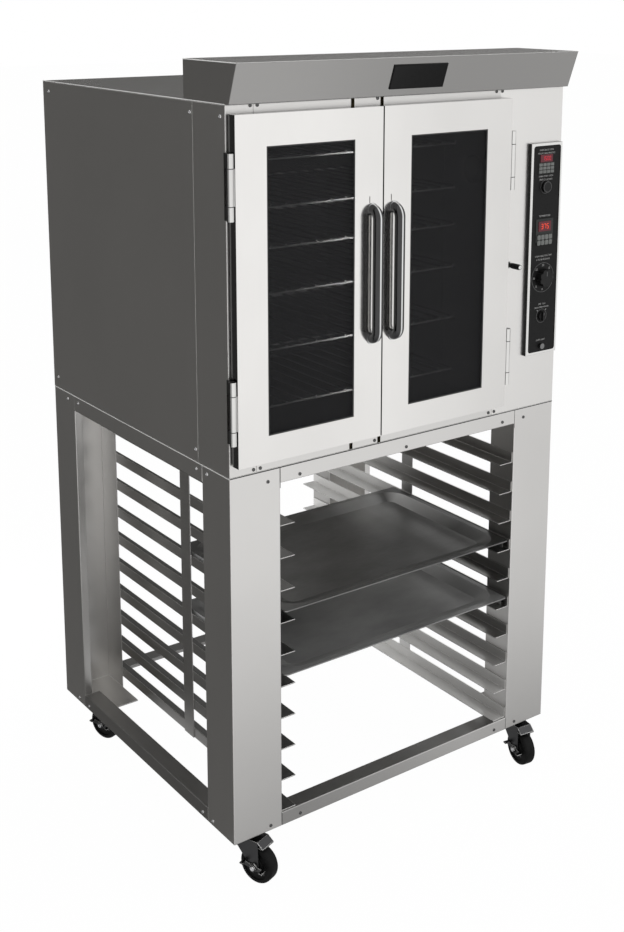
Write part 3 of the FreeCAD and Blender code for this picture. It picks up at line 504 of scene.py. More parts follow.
def tube_finish(name, colour, highlight_grey, line):
    """Dull plated tube with a painted highlight line along one side, where its faces look one way."""
    material, tree, shader = new_material(name, {"Metallic": 1.0})
    lines = noise(tree, GRAIN["z"], detail=2.0)
    # Painted highlight: faces in a band of directions are laid over with a light grey.
    painted_highlight = band(tree, own_normal(tree, "X"), line, line + 0.1, line + 0.3, line + 0.4)
    base = mixed(tree, spread(tree, lines, 0, 1), shade(colour, 0.85), shade(colour, 1.15))
    tree.links.new(blended(tree, painted_highlight, base, (highlight_grey, highlight_grey, highlight_grey)), shader.inputs["Base Color"])
    tree.links.new(spread(tree, lines, 0.16, 0.24), shader.inputs["Roughness"])
    bumped(tree, shader, lines, 0.02, 0.0001)
    return material


def slide_finish(name, colour, edge):
    """Dull steel slides: on the right a painted highlight far back and low down, on the left painted shade on
    top.
    """
    material, tree, shader = new_material(name, {"Roughness": 0.3})
    lines = noise(tree, GRAIN["y"], detail=2.0)
    across = own_place(tree, "X")
    depth = own_place(tree, "Y")
    height = own_place(tree, "Z")
    # Painted highlight far back and low down on the right, weaker on faces that do not look up.
    far = calculated(tree, "ADD", depth, calculated(tree, "MULTIPLY", height, -0.36))
    back = spread(tree, far, 0, 1, -0.31, -0.06)
    lowest = product(tree, spread(tree, depth, 0.45, 1, -0.42, 0.2), spread(tree, height, 1, 0, 0.26, 0.36))
    painted_highlight = product(tree, larger(tree, back, lowest), spread(tree, across, 0, 1, 0.1, 0.2))
    painted_highlight = product(tree, painted_highlight, spread(tree, own_normal(tree, "Z"), 0.72, 1, 0.4, 0.7))
    base = mixed(tree, spread(tree, lines, 0, 1), shade(colour, 0.66), shade(colour, 0.8))
    # Painted shade on the tops of the left slides.
    shaded = product(tree, faces_up(tree), spread(tree, across, 0.6, 0, -0.2, -0.1))
    base = blended(tree, shaded, base, (0.04, 0.04, 0.04))
    base = blended(tree, painted_highlight, base, (0.9, 0.895, 0.88))
    # Painted highlight and painted shade along the folded edges too.
    tree.links.new(painted_edge_light(tree, base, edge), shader.inputs["Base Color"])
    tree.links.new(spread(tree, painted_highlight, 1, 0.15, 0, 1), shader.inputs["Metallic"])
    bumped(tree, shader, lines, 0.05, 0.0002, edge)
    return material


def pan_finish(name, colour, metallic):
    """Used baking aluminium: dark, with scuffs and baked-on patches, and a painted highlight on the right
    wall and in a band towards the back.
    """
    material, tree, shader = new_material(name, {"Metallic": metallic})
    patches = noise(tree, (5, 9, 9), detail=5.0)
    scuffs = noise(tree, (60, 500, 60), detail=3.0, turn=(0, 0, 0.5))
    base = mixed(tree, spread(tree, patches, 0, 1), shade(colour, 0.8), shade(colour, 1.25))
    depth = own_place(tree, "Y")
    # Painted highlight: the right wall towards the back and a band of the floor go light and less metallic.
    right_wall = spread(tree, own_normal(tree, "X"), 1, 0, -0.3, -0.1)
    wall = product(tree, right_wall, spread(tree, depth, 0.1, 1, -0.25, 0.04))
    highlight_band = band(tree, own_place(tree, "X"), 0.1, 0.2, 0.2, 0.3)
    painted_highlight = larger(tree, wall, product(tree, highlight_band, spread(tree, depth, 0, 0.32, -0.3, 0.03)))
    tree.links.new(blended(tree, painted_highlight, base, (0.95, 0.95, 0.94)), shader.inputs["Base Color"])
    tree.links.new(spread(tree, painted_highlight, metallic, 0, 0, 1), shader.inputs["Metallic"])
    tree.links.new(spread(tree, scuffs, 0.3, 0.42), shader.inputs["Roughness"])
    bumped(tree, shader, scuffs, 0.04, 0.0003, 0.0008)
    return material


def plain_finish(name, colour, metallic, roughness, scale, vary, bump=0.05, gloss=0.5):
    """A cast, moulded or worn surface: mottled colour, uneven gloss and a fine texture."""
    material, tree, shader = new_material(name, {"Metallic": metallic, "Specular IOR Level": gloss})
    mottle = noise(tree, (scale, scale, scale), detail=4.0)
    fine = noise(tree, (scale * 9, scale * 9, scale * 9), detail=2.0)
    dark = shade(colour, 1 - vary)
    light = shade(colour, 1 + vary)
    tree.links.new(mixed(tree, spread(tree, mottle, 0, 1), dark, light), shader.inputs["Base Color"])
    smooth = max(0.02, roughness - 0.06)
    rough = min(1.0, roughness + 0.08)
    tree.links.new(spread(tree, mottle, smooth, rough), shader.inputs["Roughness"])
    bumped(tree, shader, fine, bump, 0.0003)
    return material


def bezel_finish(name, colour):
    """Satin steel in front, near black on the bezel's outer walls."""
    material, tree, shader = new_material(name, {"Metallic": 1.0, "Roughness": 0.26})
    front = faces_front(tree, 0.3, 0.6)
    tree.links.new(mixed(tree, front, (0.02, 0.02, 0.02), colour), shader.inputs["Base Color"])
    lines = noise(tree, GRAIN["z"], detail=2.0)
    tree.links.new(spread(tree, lines, 0.24, 0.3), shader.inputs["Roughness"])
    return material


def tinted_glass(name, colour, cover, roughness):
    material, tree, shader = new_material(
        name, {"Base Color": (*colour, 1), "Metallic": 0.0, "IOR": 1.45, "Specular IOR Level": 0.22})
    smears = noise(tree, (5, 5, 2), detail=3.0)
    tree.links.new(spread(tree, smears, roughness, roughness + 0.05), shader.inputs["Roughness"])
    tree.links.new(spread(tree, smears, cover - 0.02, cover + 0.03), shader.inputs["Alpha"])
    return material


def glowing_red(name, base, glow, strength):
    material, tree, shader = new_material(
        name, {"Roughness": 0.18, "Emission Color": (*glow, 1), "Emission Strength": strength})
    mottle = noise(tree, (90, 90, 90), detail=2.0)
    tree.links.new(
        mixed(tree, spread(tree, mottle, 0, 1), base, shade(base, 1.35)), shader.inputs["Base Color"])
    return material


def make_finishes(finish):
    """All materials of the oven, by the name of the finish."""
    edge = finish.edge_width
    steel = tuple(finish.steel_colour)
    stand = tuple(finish.stand_colour)
    rough = finish.steel_roughness
    made = (
        brushed_metal("panel_upright", steel, rough, "z", edge=edge),
        brushed_metal("panel_across", steel, rough, "x", edge=edge),
        brushed_metal("panel_top", shade(steel, 0.85), rough - 0.12, "x", edge=edge),
        # The hood's front faces get painted shade.
        brushed_metal("panel_hood", shade(steel, 0.9), rough - 0.1, "x", edge=edge, front=0.55),
        # The right column is a lighter copy of the cabinet steel: painted light.
        brushed_metal("panel_column", shade(steel, 1.14), rough, "z", edge=edge),
        # The doors get painted shade on their edge returns.
        brushed_metal(
            "door_polish", shade(steel, 1.12), finish.door_roughness, "z", grain=0.03, cloud=0.03,
            sides=0.12),
        brushed_metal("stand_upright", stand, rough + 0.02, "z", edge=edge),
        # The stand rails get painted shade low down.
        brushed_metal("stand_across", stand, rough + 0.02, "x", edge=edge, low=0.16),
        slide_finish("stand_slide", stand, edge),
        # The handles' tube, with its painted highlight line.
        tube_finish("handle_chrome", (0.06, 0.06, 0.061), 0.7, -0.26),
        # The racks get painted shade on the sides of their wires and bars.
        brushed_metal(
            "rack_plating", (0.8, 0.8, 0.79), 0.45, "y", grain=0.05, cloud=0.1, sides=0.03, metallic=0.2),
        brushed_metal("cavity_lining", (0.3, 0.3, 0.3), 0.4, "z", grain=0.06, cloud=0.12),
        plain_finish("wool", (0.6, 0.52, 0.3), 0.0, 0.9, 60, 0.25, bump=0.6),
        plain_finish("motor_cast", (0.3, 0.31, 0.33), 0.6, 0.5, 70, 0.12, bump=0.3),
        plain_finish("element_oxide", (0.16, 0.13, 0.11), 0.7, 0.5, 40, 0.3, bump=0.2),
        plain_finish("lamp_lens", (0.1, 0.1, 0.09), 0.0, 0.12, 120, 0.06),
        tinted_glass("door_glass", finish.glass_tint, finish.glass_cover, 0.03),
        # Black rubber, also used for the painted shade in the cabinet's joints.
        plain_finish("rubber_and_painted_shade", (0.03, 0.03, 0.03), 0.0, 0.6, 90, 0.3, bump=0.3),
        bezel_finish("bezel_satin", (0.7, 0.69, 0.68)),
        # Near white and mostly not metallic, so the edge beads show as a painted highlight.
        brushed_metal("painted_edge_highlight", (0.95, 0.945, 0.93), 0.3, "y", metallic=0.3),
        brushed_metal("trim_bright", (0.82, 0.815, 0.8), 0.24, "z", cloud=0.03),
        plain_finish("face_black", (0.008, 0.008, 0.008), 0.0, 0.4, 220, 0.2, gloss=0.12),
        glowing_red("display_glass", (0.04, 0.002, 0.005), (0.1, 0.002, 0.01), 0.4),
        glowing_red("digit_red", (0.3, 0.01, 0.02), (0.5, 0.01, 0.03), 0.5),
        glowing_red("digit_orange", (0.4, 0.03, 0.01), (0.75, 0.05, 0.02), 0.8),
        plain_finish("key_membrane", (0.025, 0.026, 0.025), 0.0, 0.5, 160, 0.12, gloss=0.2),
        plain_finish("key_light", (0.13, 0.135, 0.13), 0.0, 0.5, 160, 0.1, gloss=0.2),
        plain_finish("print_white", (0.3, 0.3, 0.295), 0.0, 0.6, 300, 0.06, gloss=0.1),
        plain_finish("print_grey", (0.12, 0.12, 0.12), 0.0, 0.6, 300, 0.1, gloss=0.1),
        plain_finish("knob_plastic", (0.008, 0.008, 0.008), 0.0, 0.4, 130, 0.25, gloss=0.2),
        plain_finish("button_bright", (0.7, 0.7, 0.69), 1.0, 0.16, 80, 0.06),
        plain_finish("button_grey", (0.22, 0.22, 0.22), 1.0, 0.3, 80, 0.1),
        # The fittings get painted shade on their edge returns.
        brushed_metal("fitting_satin", (0.7, 0.695, 0.68), 0.3, "z", cloud=0.05, sides=0.1),
        plain_finish("inlet_plastic", (0.03, 0.03, 0.032), 0.0, 0.55, 150, 0.25, bump=0.2),
        pan_finish("pan_dull", tuple(finish.pan_colour), 1.0),
        # The lower pan's copy is lighter and half metallic: painted light on the lower pan.
        pan_finish("pan_painted_lighter", shade(tuple(finish.pan_colour), 1.3), 0.5),
        brushed_metal("zinc", (0.08, 0.08, 0.082), 0.34, "z", cloud=0.14, edge=0.0026),
        # Bright zinc for bolts and caps, and painted light on the side screws.
        plain_finish("bright_zinc_and_painted_light", (0.75, 0.75, 0.76), 1.0, 0.24, 110, 0.08),
        plain_finish("tyre", (0.003, 0.003, 0.003), 0.0, 0.6, 140, 0.3, bump=0.25, gloss=0.2),
        plain_finish("screw_steel", (0.12, 0.12, 0.12), 1.0, 0.25, 200, 0.1),
        plain_finish("plate_black", (0.006, 0.006, 0.006), 0.0, 0.4, 120, 0.2, gloss=0.12),
    )
    return {material.name: material for material in made}


FINISH_OF_SLOT = {
    "stainless_panel": "panel_upright", "polished_door": "door_polish", "stand_steel": "stand_upright",
    "bright_tube": "handle_chrome", "rack_wire": "rack_plating", "cavity_steel": "cavity_lining",
    "mineral_wool": "wool", "motor_casting": "motor_cast", "element_tube": "element_oxide",
    "lamp_glass": "lamp_lens", "tinted_glass": "door_glass", "gasket_rubber": "rubber_and_painted_shade",
    "bezel_steel": "bezel_satin", "control_black": "face_black", "display_red": "display_glass",
    "key_grey": "key_membrane", "knob_black": "knob_plastic", "button_metal": "button_bright",
    "fitting_metal": "fitting_satin", "inlet_nylon": "inlet_plastic", "pan_aluminium": "pan_dull",
    "caster_zinc": "zinc", "wheel_rubber": "tyre",
}
FINISH_OF_NODE = {
    "top_panel": "panel_top", "hood_valance": "panel_hood", "front_strips": "panel_across",
    "front_right_column": "panel_column", "stand_rails": "stand_across", "pan_slide_ladders": "stand_slide",
    "light_button": "button_grey", "lower_sheet_pan": "pan_painted_lighter",
}
finishes = {}


class OVEN_OT_finishes(bpy.types.Operator):
    """Makes the materials and puts them on the oven's pieces"""

    bl_idname = "oven.finishes"
    bl_label = "Finishes"

    def execute(self, context):
        finishes.update(make_finishes(context.scene.oven_finish))
        for name, part in nodes.items():
            finish = FINISH_OF_NODE.get(name, FINISH_OF_SLOT[slots[name]])
            part.data.materials.clear()
            part.data.materials.append(finishes[finish])
        return {"FINISHED"}


def screw_head(radius, height):
    """A domed screw head with a round socket, standing on the origin along +Z."""
    head = cylinder("screw_head", radius, height, (0, 0, height / 2), 20)
    bevel_edges(head, lambda mid, run: mid.z > height * 0.9 and abs(run.z) < 0.1, height * 0.7, 3)
    pick_faces(head, lambda mid, normal: normal.z > 0.99)
    bpy.ops.mesh.inset(thickness=radius * 0.22)
    extrude(0, 0, -height * 0.5)
    bpy.ops.transform.resize(value=(0.72, 0.72, 1))
    leave_edit()
    return head


def screw_places():
    """Where the panel screws sit, each with the direction it faces."""
    places = []
    front = Vector((0, -1, 0))
    back = Vector((0, 1, 0))
    left = Vector((-1, 0, 0))
    for x in (59.7, 76.7, 383.9, 730.6, 748.7):
        places.append((at(x, 0, 1753), front))
        places.append((at(x, 0, 984), front))
    for y, z in ((820, 1732), (138, 1732), (18.7, 1732), (827, 1003), (138, 1003)):
        places.append((at(0, y, z), left))
    for x, z in ((96, 949), (179, 949), (477, 950), (778, 951), (848, 951)):
        places.append((at(x, 0, z), front))
        places.append((at(x, CABINET_DEPTH, z), back))
    for x in (97, 178, 779, 849):
        places.append((at(x, 0, 131), front))
        places.append((at(x, CABINET_DEPTH, 131), back))
    for y, z in ((93, 959), (137, 959), (716.5, 960), (775, 958)):
        places.append((at(0, y, z), left))
    for y in (92, 136, 715, 772):
        places.append((at(0, y, 131), left))
    for x in (20, 250, 480, 710, 926):
        places.append((at(x, CABINET_DEPTH, CABINET_TOP - 14), back))
        places.append((at(x, CABINET_DEPTH, CABINET_BOTTOM + 14), back))
    low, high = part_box("rear_access_cover")
    margin = 0.01
    for x in (low[0] + margin, high[0] - margin):
        for z in (low[2] + margin, (low[2] + high[2]) / 2, high[2] - margin):
            places.append((Vector((x, high[1], z)), back))
    return places


class OVEN_OT_screws(bpy.types.Operator):
    """Sets the panel screws in the cabinet and the stand"""

    bl_idname = "oven.screws"
    bl_label = "Panel screws"

    def execute(self, context):
        trim = context.scene.oven_trim
        head = screw_head(trim.screw_radius, trim.screw_height)
        fronts = []
        sides = []
        for i, (point, normal) in enumerate(screw_places()):
            group = sides if normal.x else fronts
            group.append(copied(head, "screw_%d" % i, facing(point, normal, i * 1.1)))
        discard(head)
        # One screw in two tones: dark in front as painted shade, bright on the sides as painted light.
        dress(joined("panel_screws", fronts), finishes["screw_steel"], ROOT)
        dress(joined("side_screws", sides), finishes["bright_zinc_and_painted_light"], ROOT)
        return {"FINISHED"}


class OVEN_OT_seams(bpy.types.Operator):
    """Runs dark strips where the cabinet meets the stand and the rails meet the posts: painted shade in the
    joints
    """

    bl_idname = "oven.seams"
    bl_label = "Seams"

    def execute(self, context):
        proud = 0.15
        half = 0.7
        spans = [(0.5, CABINET_WIDTH - 0.5, CABINET_BOTTOM - 1.6, CABINET_BOTTOM + 0.6)]
        for x in POST_EDGES:
            spans.append((x - half, x + half, 121, 151))
            spans.append((x - half, x + half, 928, CABINET_BOTTOM - 1))
        strips = []
        for x0, x1, z0, z1 in spans:
            strip = block("seam", at(x0, -proud, z0), at(x1, 0.1, z1))
            strips.append(soften(strip, 0.0001, 1))
        dress(joined("seam_shade_lines", strips), finishes["rubber_and_painted_shade"], ROOT)
        return {"FINISHED"}


class OVEN_OT_edge_beads(bpy.types.Operator):
    """Rolls thin near-white beads along the folded edges of the cabinet, the hood and the stand, as a painted
    highlight
    """

    bl_idname = "oven.edge_beads"
    bl_label = "Edge beads"

    def execute(self, context):
        low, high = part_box("hood_valance")
        inset = 0.002
        fold = high[2] - 0.001
        runs = [
            (at(0, 1, CABINET_TOP), at(0, CABINET_DEPTH - 1, CABINET_TOP)),
            (at(0, 1, CABINET_BOTTOM - 1), at(0, CABINET_DEPTH - 1, CABINET_BOTTOM - 1)),
            (Vector((low[0], low[1] + inset, fold)), Vector((low[0], high[1] - inset, fold))),
        ]
        beads = []
        for start, end in runs:
            bead = round_bar("edge_bead", 0.0009, start, end, 10)
            beads.append(bevel_edges(bead, lambda mid, way: abs(way.y) < 0.1, 0.0003, 1))
        dress(joined("edge_beads", beads), finishes["painted_edge_highlight"], ROOT)
        return {"FINISHED"}


class OVEN_OT_hinge_washers(bpy.types.Operator):
    """Slips the dark washers between the knuckles of the door hinges"""

    bl_idname = "oven.hinge_washers"
    bl_label = "Hinge washers"

    def execute(self, context):
        washer = round_bar("hinge_washer", 0.008, Vector((0, 0, -0.001)), Vector((0, 0, 0.001)), 32)
        bevel_edges(washer, lambda mid, way: abs(way.z) < 0.1, 0.0002, 1)
        washers = []
        for x in HINGE_PINS:
            for z in KNUCKLE_GAPS:
                place = Matrix.Translation(at(x, HINGE_PIN_DEPTH, z))
                washers.append(copied(washer, "washer_%d" % len(washers), place))
        discard(washer)
        dress(joined("hinge_washers", washers), finishes["rubber_and_painted_shade"], ROOT)
        return {"FINISHED"}


class OVEN_OT_hood_plate(bpy.types.Operator):
    """Fixes the bare black plate to the slanted front of the hood"""

    bl_idname = "oven.hood_plate"
    bl_label = "Hood plate"

    def execute(self, context):
        low_z = 1772.6
        high_z = 1825.0
        lean = math.atan2(HOOD_LEAN, HOOD_HEIGHT)
        tall = (high_z - low_z) / math.cos(lean)
        plate = block("hood_plate", Vector((0, -0.0022, 0)), Vector((0.15, 0, tall * MM)))
        pick_faces(plate, lambda mid, normal: normal.y < -0.9)
        bpy.ops.mesh.inset(thickness=0.0022)
        bpy.ops.mesh.inset(thickness=0.0008)
        extrude(0, 0.0007, 0)
        leave_edit()
        soften(plate, 0.0004)
        foot = at(398, HOOD_FOOT - (low_z - CABINET_TOP) * HOOD_LEAN / HOOD_HEIGHT, low_z)
        plate.data.transform(Matrix.Translation(foot) @ Matrix.Rotation(lean, 4, "X"))
        dress(plate, finishes["plate_black"], ROOT)
        return {"FINISHED"}


def tube_handle(name, x, radius, sides):
    """A D-shaped tube handle, drawn as one ring carried along its path."""
    leg = HANDLE_STANDOFF - HANDLE_BEND
    bend_y = DOOR_FRONT - leg
    low = HANDLE_LOW
    high = low + HANDLE_LENGTH
    clear_selection()
    bpy.ops.mesh.primitive_circle_add(
        vertices=sides, radius=radius, location=at(x, DOOR_FRONT, low), rotation=(math.pi / 2, 0, 0))
    handle = settle(named(name))
    edit(handle, "EDGE")
    bpy.ops.mesh.select_all(action="SELECT")

    def bend_round(z):
        bpy.ops.mesh.spin(
            steps=10, angle=math.pi / 2, center=at(x, bend_y, z), axis=(1, 0, 0), use_auto_merge=False)

    extrude(0, -leg * MM, 0)
    bend_round(low + HANDLE_BEND)
    extrude(0, 0, (HANDLE_LENGTH - 2 * HANDLE_BEND) * MM)
    bend_round(high - HANDLE_BEND)
    extrude(0, leg * MM, 0)
    leave_edit()
    outward(handle)
    collar = 2.4
    rim_y = at(0, DOOR_FRONT - collar + 0.1, 0).y
    pieces = [handle]
    for z in (low, high):
        foot = round_bar(
            name + "_foot", radius * 1.16, at(x, DOOR_FRONT - collar, z), at(x, DOOR_FRONT, z), sides)
        pieces.append(bevel_edges(foot, lambda mid, way: mid.y < rim_y, 0.0009, 3))
    return joined(name, pieces)


class OVEN_OT_handles(bpy.types.Operator):
    """Bends the two tube handles and sets their feet"""

    bl_idname = "oven.handles"
    bl_label = "Door handles"

    def execute(self, context):
        trim = context.scene.oven_trim
        for side in ("left", "right"):
            low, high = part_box(side + "_door_handle")
            x = ((low[0] + high[0]) / 2 - CABINET_CORNER[0]) / MM
            handle = tube_handle(side + "_handle_tube", x, trim.handle_radius, trim.handle_sides)
            dress(handle, finishes["handle_chrome"], side + "_door", angle=50)
            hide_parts(side + "_door_handle")
        return {"FINISHED"}


class OVEN_OT_glazing(bpy.types.Operator):
    """Runs a rubber bead round each window and marks the slot above each handle"""

    bl_idname = "oven.glazing"
    bl_label = "Glazing beads"

    def execute(self, context):
        for side in ("left", "right"):
            low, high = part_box(side + "_door_glass")
            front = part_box(side + "_door_skin")[0][1]
            lap = 0.023
            bead = block(
                side + "_glazing_bead", Vector((low[0] + lap, front + 0.0003, low[2] + lap)),
                Vector((high[0] - lap, front + 0.0014, high[2] - lap)))
            soften(hollowed(bead, 0.0028), 0.0004)
            dress(bead, finishes["rubber_and_painted_shade"], side + "_door")
        for side, x in LATCH_SLITS:
            slit = block(
                side + "_latch_slit", at(x - 0.9, DOOR_FRONT - 0.3, 1532),
                at(x + 0.9, DOOR_FRONT + 0.3, 1547))
            soften(slit, 0.0002)
            dress(slit, finishes["rubber_and_painted_shade"], side + "_door")
        return {"FINISHED"}


def wire_rack(bar_radius, wire_radius, wires):
    """One rack on the first rack's place: two cross bars under a row of round-ended wires."""
    low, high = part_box("oven_racks")
    floor = low[2]
    pieces = []
    middle = floor + bar_radius
    for y in (low[1] + bar_radius, high[1] - bar_radius):
        bar = round_bar("rack_bar", bar_radius, Vector((low[0], y, middle)), Vector((high[0], y, middle)), 14)
        pieces.append(bevel_edges(bar, lambda mid, way: abs(way.x) < 0.1, bar_radius * 0.5, 2))
    lift = floor + 2 * bar_radius + wire_radius * 0.7
    wire = round_bar("rack_wire", wire_radius, Vector((0, low[1], lift)), Vector((0, high[1], lift)), 10)
    bevel_edges(wire, lambda mid, way: abs(way.y) < 0.1, wire_radius * 0.2, 1)
    first = low[0] + wire_radius
    pitch = (high[0] - low[0] - 2 * wire_radius) / (wires - 1)
    for i in range(wires):
        pieces.append(copied(wire, "rack_wire_%d" % i, Matrix.Translation((first + i * pitch, 0, 0))))
    discard(wire)
    return joined("wire_rack", pieces)


class OVEN_OT_racks(bpy.types.Operator):
    """Welds one wire rack and sets six of them on the ladders"""

    bl_idname = "oven.racks"
    bl_label = "Oven racks"

    def execute(self, context):
        trim = context.scene.oven_trim
        rack = wire_rack(trim.rack_bar_radius, trim.rack_wire_radius, trim.rack_wires)
        racks = [
            copied(rack, "rack_%d" % i, Matrix.Translation((0, 0, (height - RACK_HEIGHTS[0]) * MM)))
            for i, height in enumerate(RACK_HEIGHTS)
        ]
        discard(rack)
        piece = dress(joined("wire_racks", racks), finishes["rack_plating"], ROOT)
        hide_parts("oven_racks")
        return {"FINISHED"}


SEGMENTS = {
    "0": "abcdef", "1": "bc", "2": "abged", "3": "abgcd", "4": "fgbc",
    "5": "afgcd", "6": "afgedc", "7": "abc", "8": "abcdefg", "9": "abcdfg",
}


def digit_row(name, text, centre, tall, front):
    """A row of seven-segment digits standing just proud of a display."""
    wide = tall * 0.5
    bar = tall * 0.13
    segment = block("segment", Vector((-wide / 2, -0.0003, -bar / 2)), Vector((wide / 2, 0.0001, bar / 2)))
    bevel_edges(segment, lambda mid, way: abs(way.y) > 0.9, bar * 0.48, 1)
    flat = {"a": tall / 2, "g": 0.0, "d": -tall / 2}
    upright = {"f": (-1, 1), "b": (1, 1), "e": (-1, -1), "c": (1, -1)}
    pitch = wide * 1.62
    pieces = []
    for i, character in enumerate(text):
        middle = Vector((centre.x + (i - (len(text) - 1) / 2) * pitch, front, centre.z))
        for key in SEGMENTS[character]:
            if key in flat:
                place = Matrix.Translation(middle + Vector((0, 0, flat[key])))
            else:
                across, up = upright[key]
                shift = Vector((across * wide / 2, 0, up * tall / 4))
                place = Matrix.Translation(middle + shift) @ Matrix.Rotation(math.pi / 2, 4, "Y")
            pieces.append(copied(segment, "segment", place))
    discard(segment)
    return joined(name, pieces)


def key_caps(name, low, high, columns, rows, gap, proud):
    """A grid of small rounded keys over one membrane."""
    wide = (high.x - low.x - gap * (columns + 1)) / columns
    tall = (high.z - low.z - gap * (rows + 1)) / rows
    cap = block("key_cap", Vector((0, -proud, 0)), Vector((wide, 0.0002, tall)))
    bevel_edges(cap, lambda mid, way: abs(way.y) > 0.9, min(wide, tall) * 0.25, 3)
    soften(cap, proud * 0.4)
    caps = []
    for i in range(columns):
        for j in range(rows):
            foot = Vector((low.x + gap + i * (wide + gap), low.y, low.z + gap + j * (tall + gap)))
            caps.append(copied(cap, "key_cap", Matrix.Translation(foot)))
    discard(cap)
    return joined(name, caps)


class OVEN_OT_displays(bpy.types.Operator):
    """Lights the two displays and lays the keys"""

    bl_idname = "oven.displays"
    bl_label = "Displays and keys"

    def execute(self, context):
        tall = context.scene.oven_trim.digit_height
        lens_proud = 0.0012
        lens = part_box("control_face")[0][1] - lens_proud
        unit = lens - lens_proud
        timer = digit_row("timer_digits", "1500", at(CONTROL_AXIS, 0, 1589), tall * 0.78, lens)
        dress(timer, finishes["digit_red"], ROOT)
        heat = digit_row("heat_digits", "375", at(CONTROL_AXIS, 0, 1425), tall, unit)
        dress(heat, finishes["digit_orange"], ROOT)
        half = 26
        for name, bottom, top, rows, front in (
                ("timer_keys", 1552, 1579, 3, lens), ("heat_keys", 1378, 1406, 2, unit)):
            low = at(CONTROL_AXIS - half, 0, bottom)
            low.y = front
            keys = key_caps(name, low, at(CONTROL_AXIS + half, 0, top), 4, rows, 0.0016, 0.0007)
            dress(keys, finishes["key_light"], ROOT)
        return {"FINISHED"}


def printed_ring(name, centre, radius, width, thick):
    """A thin flat ring that faces forward."""
    return hollowed(cylinder(name, radius, thick, centre, 64, along_y=True), width)


class OVEN_OT_bezel_trim(bpy.types.Operator):
    """Lays the bright trim with round inner corners on the control bezel"""

    bl_idname = "oven.bezel_trim"
    bl_label = "Bezel trim"

    def execute(self, context):
        low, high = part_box("control_bezel")
        edge = 0.0012
        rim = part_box("control_face")[0][0] - low[0] - edge
        trim = block(
            "bezel_trim", Vector((low[0] + edge, low[1] - 0.0005, low[2] + edge)),
            Vector((high[0] - edge, low[1] + 0.0002, high[2] - edge)))
        hollowed(trim, rim)
        left = low[0] + rim + 0.001
        right = high[0] - rim - 0.001
        bevel_edges(trim, lambda mid, way: abs(way.y) > 0.9 and left < mid.x < right, 0.007, 5)
        dress(trim, finishes["trim_bright"], ROOT)
        return {"FINISHED"}


def printed_word(text, centre, tall, thick):
    """A generic word in raised white print."""
    clear_selection()
    bpy.ops.object.text_add(location=centre, rotation=(math.pi / 2, 0, 0))
    word = bpy.context.active_object
    word.data.body = text
    word.data.align_x = "CENTER"
    word.data.align_y = "CENTER"
    word.data.size = tall
    word.data.extrude = thick / 2
    bpy.ops.object.convert(target="MESH")
    return settle(named("word"))


class OVEN_OT_prints(bpy.types.Operator):
    """Prints the rings, marks, numbers and words of the control face"""

    bl_idname = "oven.prints"
    bl_label = "Control prints"

    def execute(self, context):
        face_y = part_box("control_face")[0][1]
        thick = 0.0003

        def on_face(z, turn=0.0, reach=0.0):
            point = at(CONTROL_AXIS, 0, z)
            point.y = face_y - thick / 2 + 0.00005
            return point + Vector((math.sin(turn) * reach, 0, math.cos(turn) * reach))

        rings = [
            printed_ring(name, on_face(z), radius, 0.0009, thick)
            for name, z, radius in (
                ("timer_ring", TIMER_BUTTON, 0.0165), ("steam_ring", STEAM_DIAL, 0.0365),
                ("power_ring", POWER_SELECTOR, 0.0172))
        ]
        dress(joined("control_rings", rings), finishes["print_grey"], ROOT)
        pieces = []
        for i in range(8):
            place = on_face(STEAM_DIAL, math.radians(180 - 45 * i), 0.0298)
            pieces.append(printed_word(str(i * 5), place, 0.0074, thick))
        mark = block("mark", Vector((-0.0009, -thick / 2, -0.002)), Vector((0.0009, thick / 2, 0.002)))
        bevel_edges(mark, lambda mid, way: abs(way.y) > 0.9, 0.0004, 2)
        for turn in (math.radians(-45), math.radians(45)):
            place = Matrix.Translation(on_face(POWER_SELECTOR, turn, 0.02)) @ Matrix.Rotation(turn, 4, "Y")
            pieces.append(copied(mark, "mark", place))
        discard(mark)
        words = (
            ("OVEN BAKE TIMER", 1609, 0.0055), ("HOURS AND MINUTES", 1601, 0.0055),
            ("TIMER START / STOP", 1546, 0.0052), ("PRESS TO SILENCE", 1538, 0.0052),
            ("TEMPERATURE", 1450, 0.0058), ("STEAM INJECTION TIME", 1352, 0.0052),
            ("0 TO 60 SECONDS", 1343.5, 0.0055), ("OFF   ON", 1233, 0.0058),
            ("MAIN OVEN POWER", 1225, 0.0052), ("OVEN LIGHT", 1143, 0.0052),
        )
        for text, z, tall in words:
            pieces.append(printed_word(text, on_face(z), tall, thick))
        dress(joined("control_prints", pieces), finishes["print_white"], ROOT)
        return {"FINISHED"}


def front_middle(node):
    """The middle of the front face of a node's box."""
    low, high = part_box(node)
    return Vector(((low[0] + high[0]) / 2, low[1], (low[2] + high[2]) / 2))


